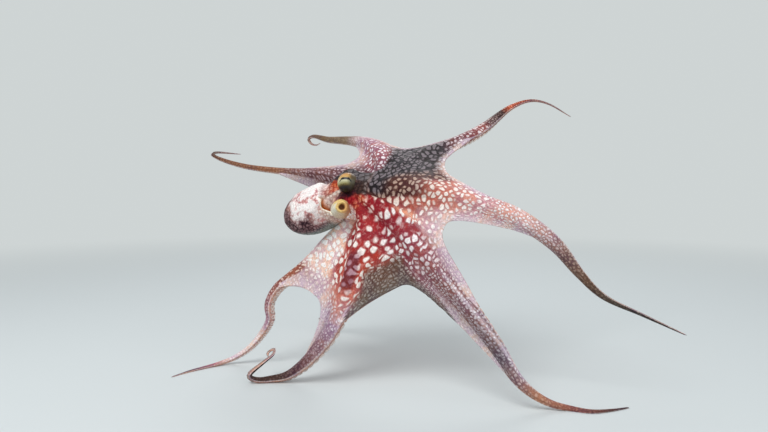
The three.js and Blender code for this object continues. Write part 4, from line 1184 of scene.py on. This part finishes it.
chance = np.random.default_rng(8)
for k, name in enumerate(NAMES):
    along = SUCKER_START
    row = 1
    cups = []
    reaches = []
    while True:
        width = half_width(k, along)[0]
        share = mix(MOUTH_SHARE, 1, ease(SUCKER_START, SUCKER_GROWN, along))
        radius = SUCKER_SIZE * width * share
        if along > arm_lines[k]["length"] - SUCKER_END or radius < SUCKER_LEAST:
            break
        guess = arm_face(k, np.array(along), np.array(-90.0 + row * SUCKER_ASIDE)) + SHIFT
        _, seat, normal, _ = skin.closest_point_on_mesh(Vector(guess / 1000))
        pressed = seat.z * 1000 < radius and normal.z < 0.3  # between the arm and the floor
        if not pressed:
            turn = np.array(normal.to_track_quat("Z", "Y").to_matrix())
            cups.append((cup * radius) @ turn.T + np.array(seat) * 1000)
            reaches.append(along)
        along += radius * SUCKER_PITCH / 2
        row = -row
    mesh = bpy.data.meshes.new(f"suckers_{name}")
    corners = np.concatenate(cups)
    corners[:, 2] = np.maximum(corners[:, 2], 0)
    mesh.from_pydata((corners / 1000).tolist(), [], [
        [number + n * len(cup) for number in face] for n in range(len(cups)) for face in cup_faces])
    skin_here = paint_arm(k, np.array(reaches))
    toward_tip = ease(0.45, 0.95, np.array(reaches) / arm_lines[k]["length"])[:, None]
    uneven = chance.uniform(0.85, 1.1, (len(reaches), 1))
    for key, own, taken in (("tint", SUCKER_FLESH, 0), ("rim", SUCKER_RIM, 3), ("hollow", SUCKER_HOLLOW, 0)):
        shades = mix(linear(own), skin_here[:, taken:taken + 3], 0.15 + 0.75 * toward_tip) * uneven
        store(mesh, key, np.repeat(shades, len(cup), axis=0))
    store(mesh, "ring", np.tile(cup_ring, len(cups)))
    suckers = bpy.data.objects.new(f"suckers_{name}", mesh)
    scene.collection.objects.link(suckers)
    suckers.data.shade_smooth()
    suckers.data.materials.append(flesh)
    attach(suckers, "root")

# ---- Eyes ----
# A glossy ball in each socket. The iris is gold above the pupil, pale green below it and dark at the bottom.
# The pale green is palest just under the pupil, partly a painted highlight; the dark at the bottom and the
# darkening towards the front are painted shade.
# The pupil is a dark level bar whose ends hang down, as it is in an octopus that looks ahead.
EYEBALL_RADIUS = 13.6
PUPIL_AT = -0.05  # of the radius, from the eye's axis upwards
PUPIL_HANG = 0.2
PUPIL_HALF = 0.56
# The lowest, near black bands are painted shade under the ball; the palest band just under the pupil is
# partly the iris's own silvery colour and partly a painted highlight.
IRIS = [  # height, colour, from the bottom up
    (-1.0, (14, 9, 16)), (-0.8, (24, 15, 22)), (-0.68, (54, 42, 28)), (-0.58, (108, 94, 50)),
    (-0.46, (158, 150, 104)), (-0.28, (190, 188, 152)), (-0.08, (206, 196, 156)), (0.06, (200, 164, 98)),
    (0.35, (202, 152, 86)), (0.7, (166, 116, 64)), (1.0, (80, 52, 34))]
EYE_PAINTED_SHADE = (58, 50, 38)
PUPIL_COLOUR = (0.004, 0.004, 0.005, 1)

iris = new_material("octopus_eye")
gaze_at = stored(iris, "gaze", "Vector")
gaze = wire(iris, "ShaderNodeSeparateXYZ", {0: gaze_at}).outputs
uneven = mottle(iris, gaze_at, 9.0, 4.0, 0.6)
height = reckon(iris, "MULTIPLY_ADD", reckon(iris, "SUBTRACT", uneven, 0.5), 0.16, gaze[1])
ramp = wire(iris, "ShaderNodeValToRGB", {0: reckon(iris, "MULTIPLY_ADD", height, 0.5, 0.5)})
band = ramp.color_ramp
while len(band.elements) < len(IRIS):
    band.elements.new(0.5)
for element, (level, shade) in zip(band.elements, IRIS):
    element.position = (level + 1) / 2
    element.color = (*linear(shade), 1)
threads = wire(iris, "ShaderNodeMapping", {"Vector": gaze_at, "Scale": (30, 6, 6)}).outputs[0]
threads = rise(iris, mottle(iris, threads, 1.0, 4.0, 0.7), 0.3, 0.7, 0.8, 1.15)
colour = shaded(iris, ramp.outputs[0], threads)
# Towards the front of the ball the iris turns to painted shade, darkest at its front edge.
corner = reckon(iris, "MULTIPLY_ADD", uneven, 0.3, gaze[0])
colour = blend(iris, rise(iris, corner, 0.25, 0.75, 0.0, 0.9), colour, (*linear(EYE_PAINTED_SHADE), 1))
sideways = reckon(iris, "ABSOLUTE", gaze[0])
hang = rise(iris, sideways, 0.34, PUPIL_HALF, PUPIL_AT, PUPIL_AT - PUPIL_HANG)
away = reckon(iris, "ABSOLUTE", reckon(iris, "SUBTRACT", gaze[1], hang))
thin = rise(iris, sideways, 0.3, PUPIL_HALF, 0.0, 0.05)
slit = rise(iris, reckon(iris, "ADD", away, thin), 0.14, 0.1)
slit = times(iris, slit, rise(iris, sideways, PUPIL_HALF + 0.04, PUPIL_HALF))
slit = times(iris, slit, rise(iris, gaze[2], 0.0, 0.1))
colour = blend(iris, slit, colour, PUPIL_COLOUR)
dress(iris, colour, rise(iris, uneven, 0.3, 0.7, 0.3, 0.42), uneven, 0.15, 0.0002,
      {"Specular IOR Level": 0.25, "Coat Weight": 0.15, "Coat Roughness": 0.08})

for name, direction in eye_axes.items():
    bpy.ops.object.select_all(action="DESELECT")
    bpy.ops.mesh.primitive_uv_sphere_add(segments=64, ring_count=32, radius=EYEBALL_RADIUS / 1000)
    eye = bpy.context.object
    eye.name = f"eyeball_{name}"
    eye.rotation_euler = Vector(direction).to_track_quat("Z", "Y").to_euler()
    eye.location = Vector((eye_centres[name] + SHIFT) / 1000)
    bpy.ops.object.transform_apply(location=True, rotation=True, scale=True)
    bpy.ops.object.shade_smooth()
    ball = np.array([corner.co for corner in eye.data.vertices]) * 1000 - eye_centres[name] - SHIFT
    upward = unit(np.array([0, 0, 1.0]) - direction * direction[2])
    forward = unit(-TAILWARD - direction * (-TAILWARD @ direction))
    forward = unit(forward - upward * (forward @ upward))
    store(eye.data, "gaze", np.stack([ball @ forward, ball @ upward, ball @ direction], -1) / EYEBALL_RADIUS)
    eye.data.materials.append(iris)
    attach(eye, "root")
    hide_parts(f"eye_{name}")
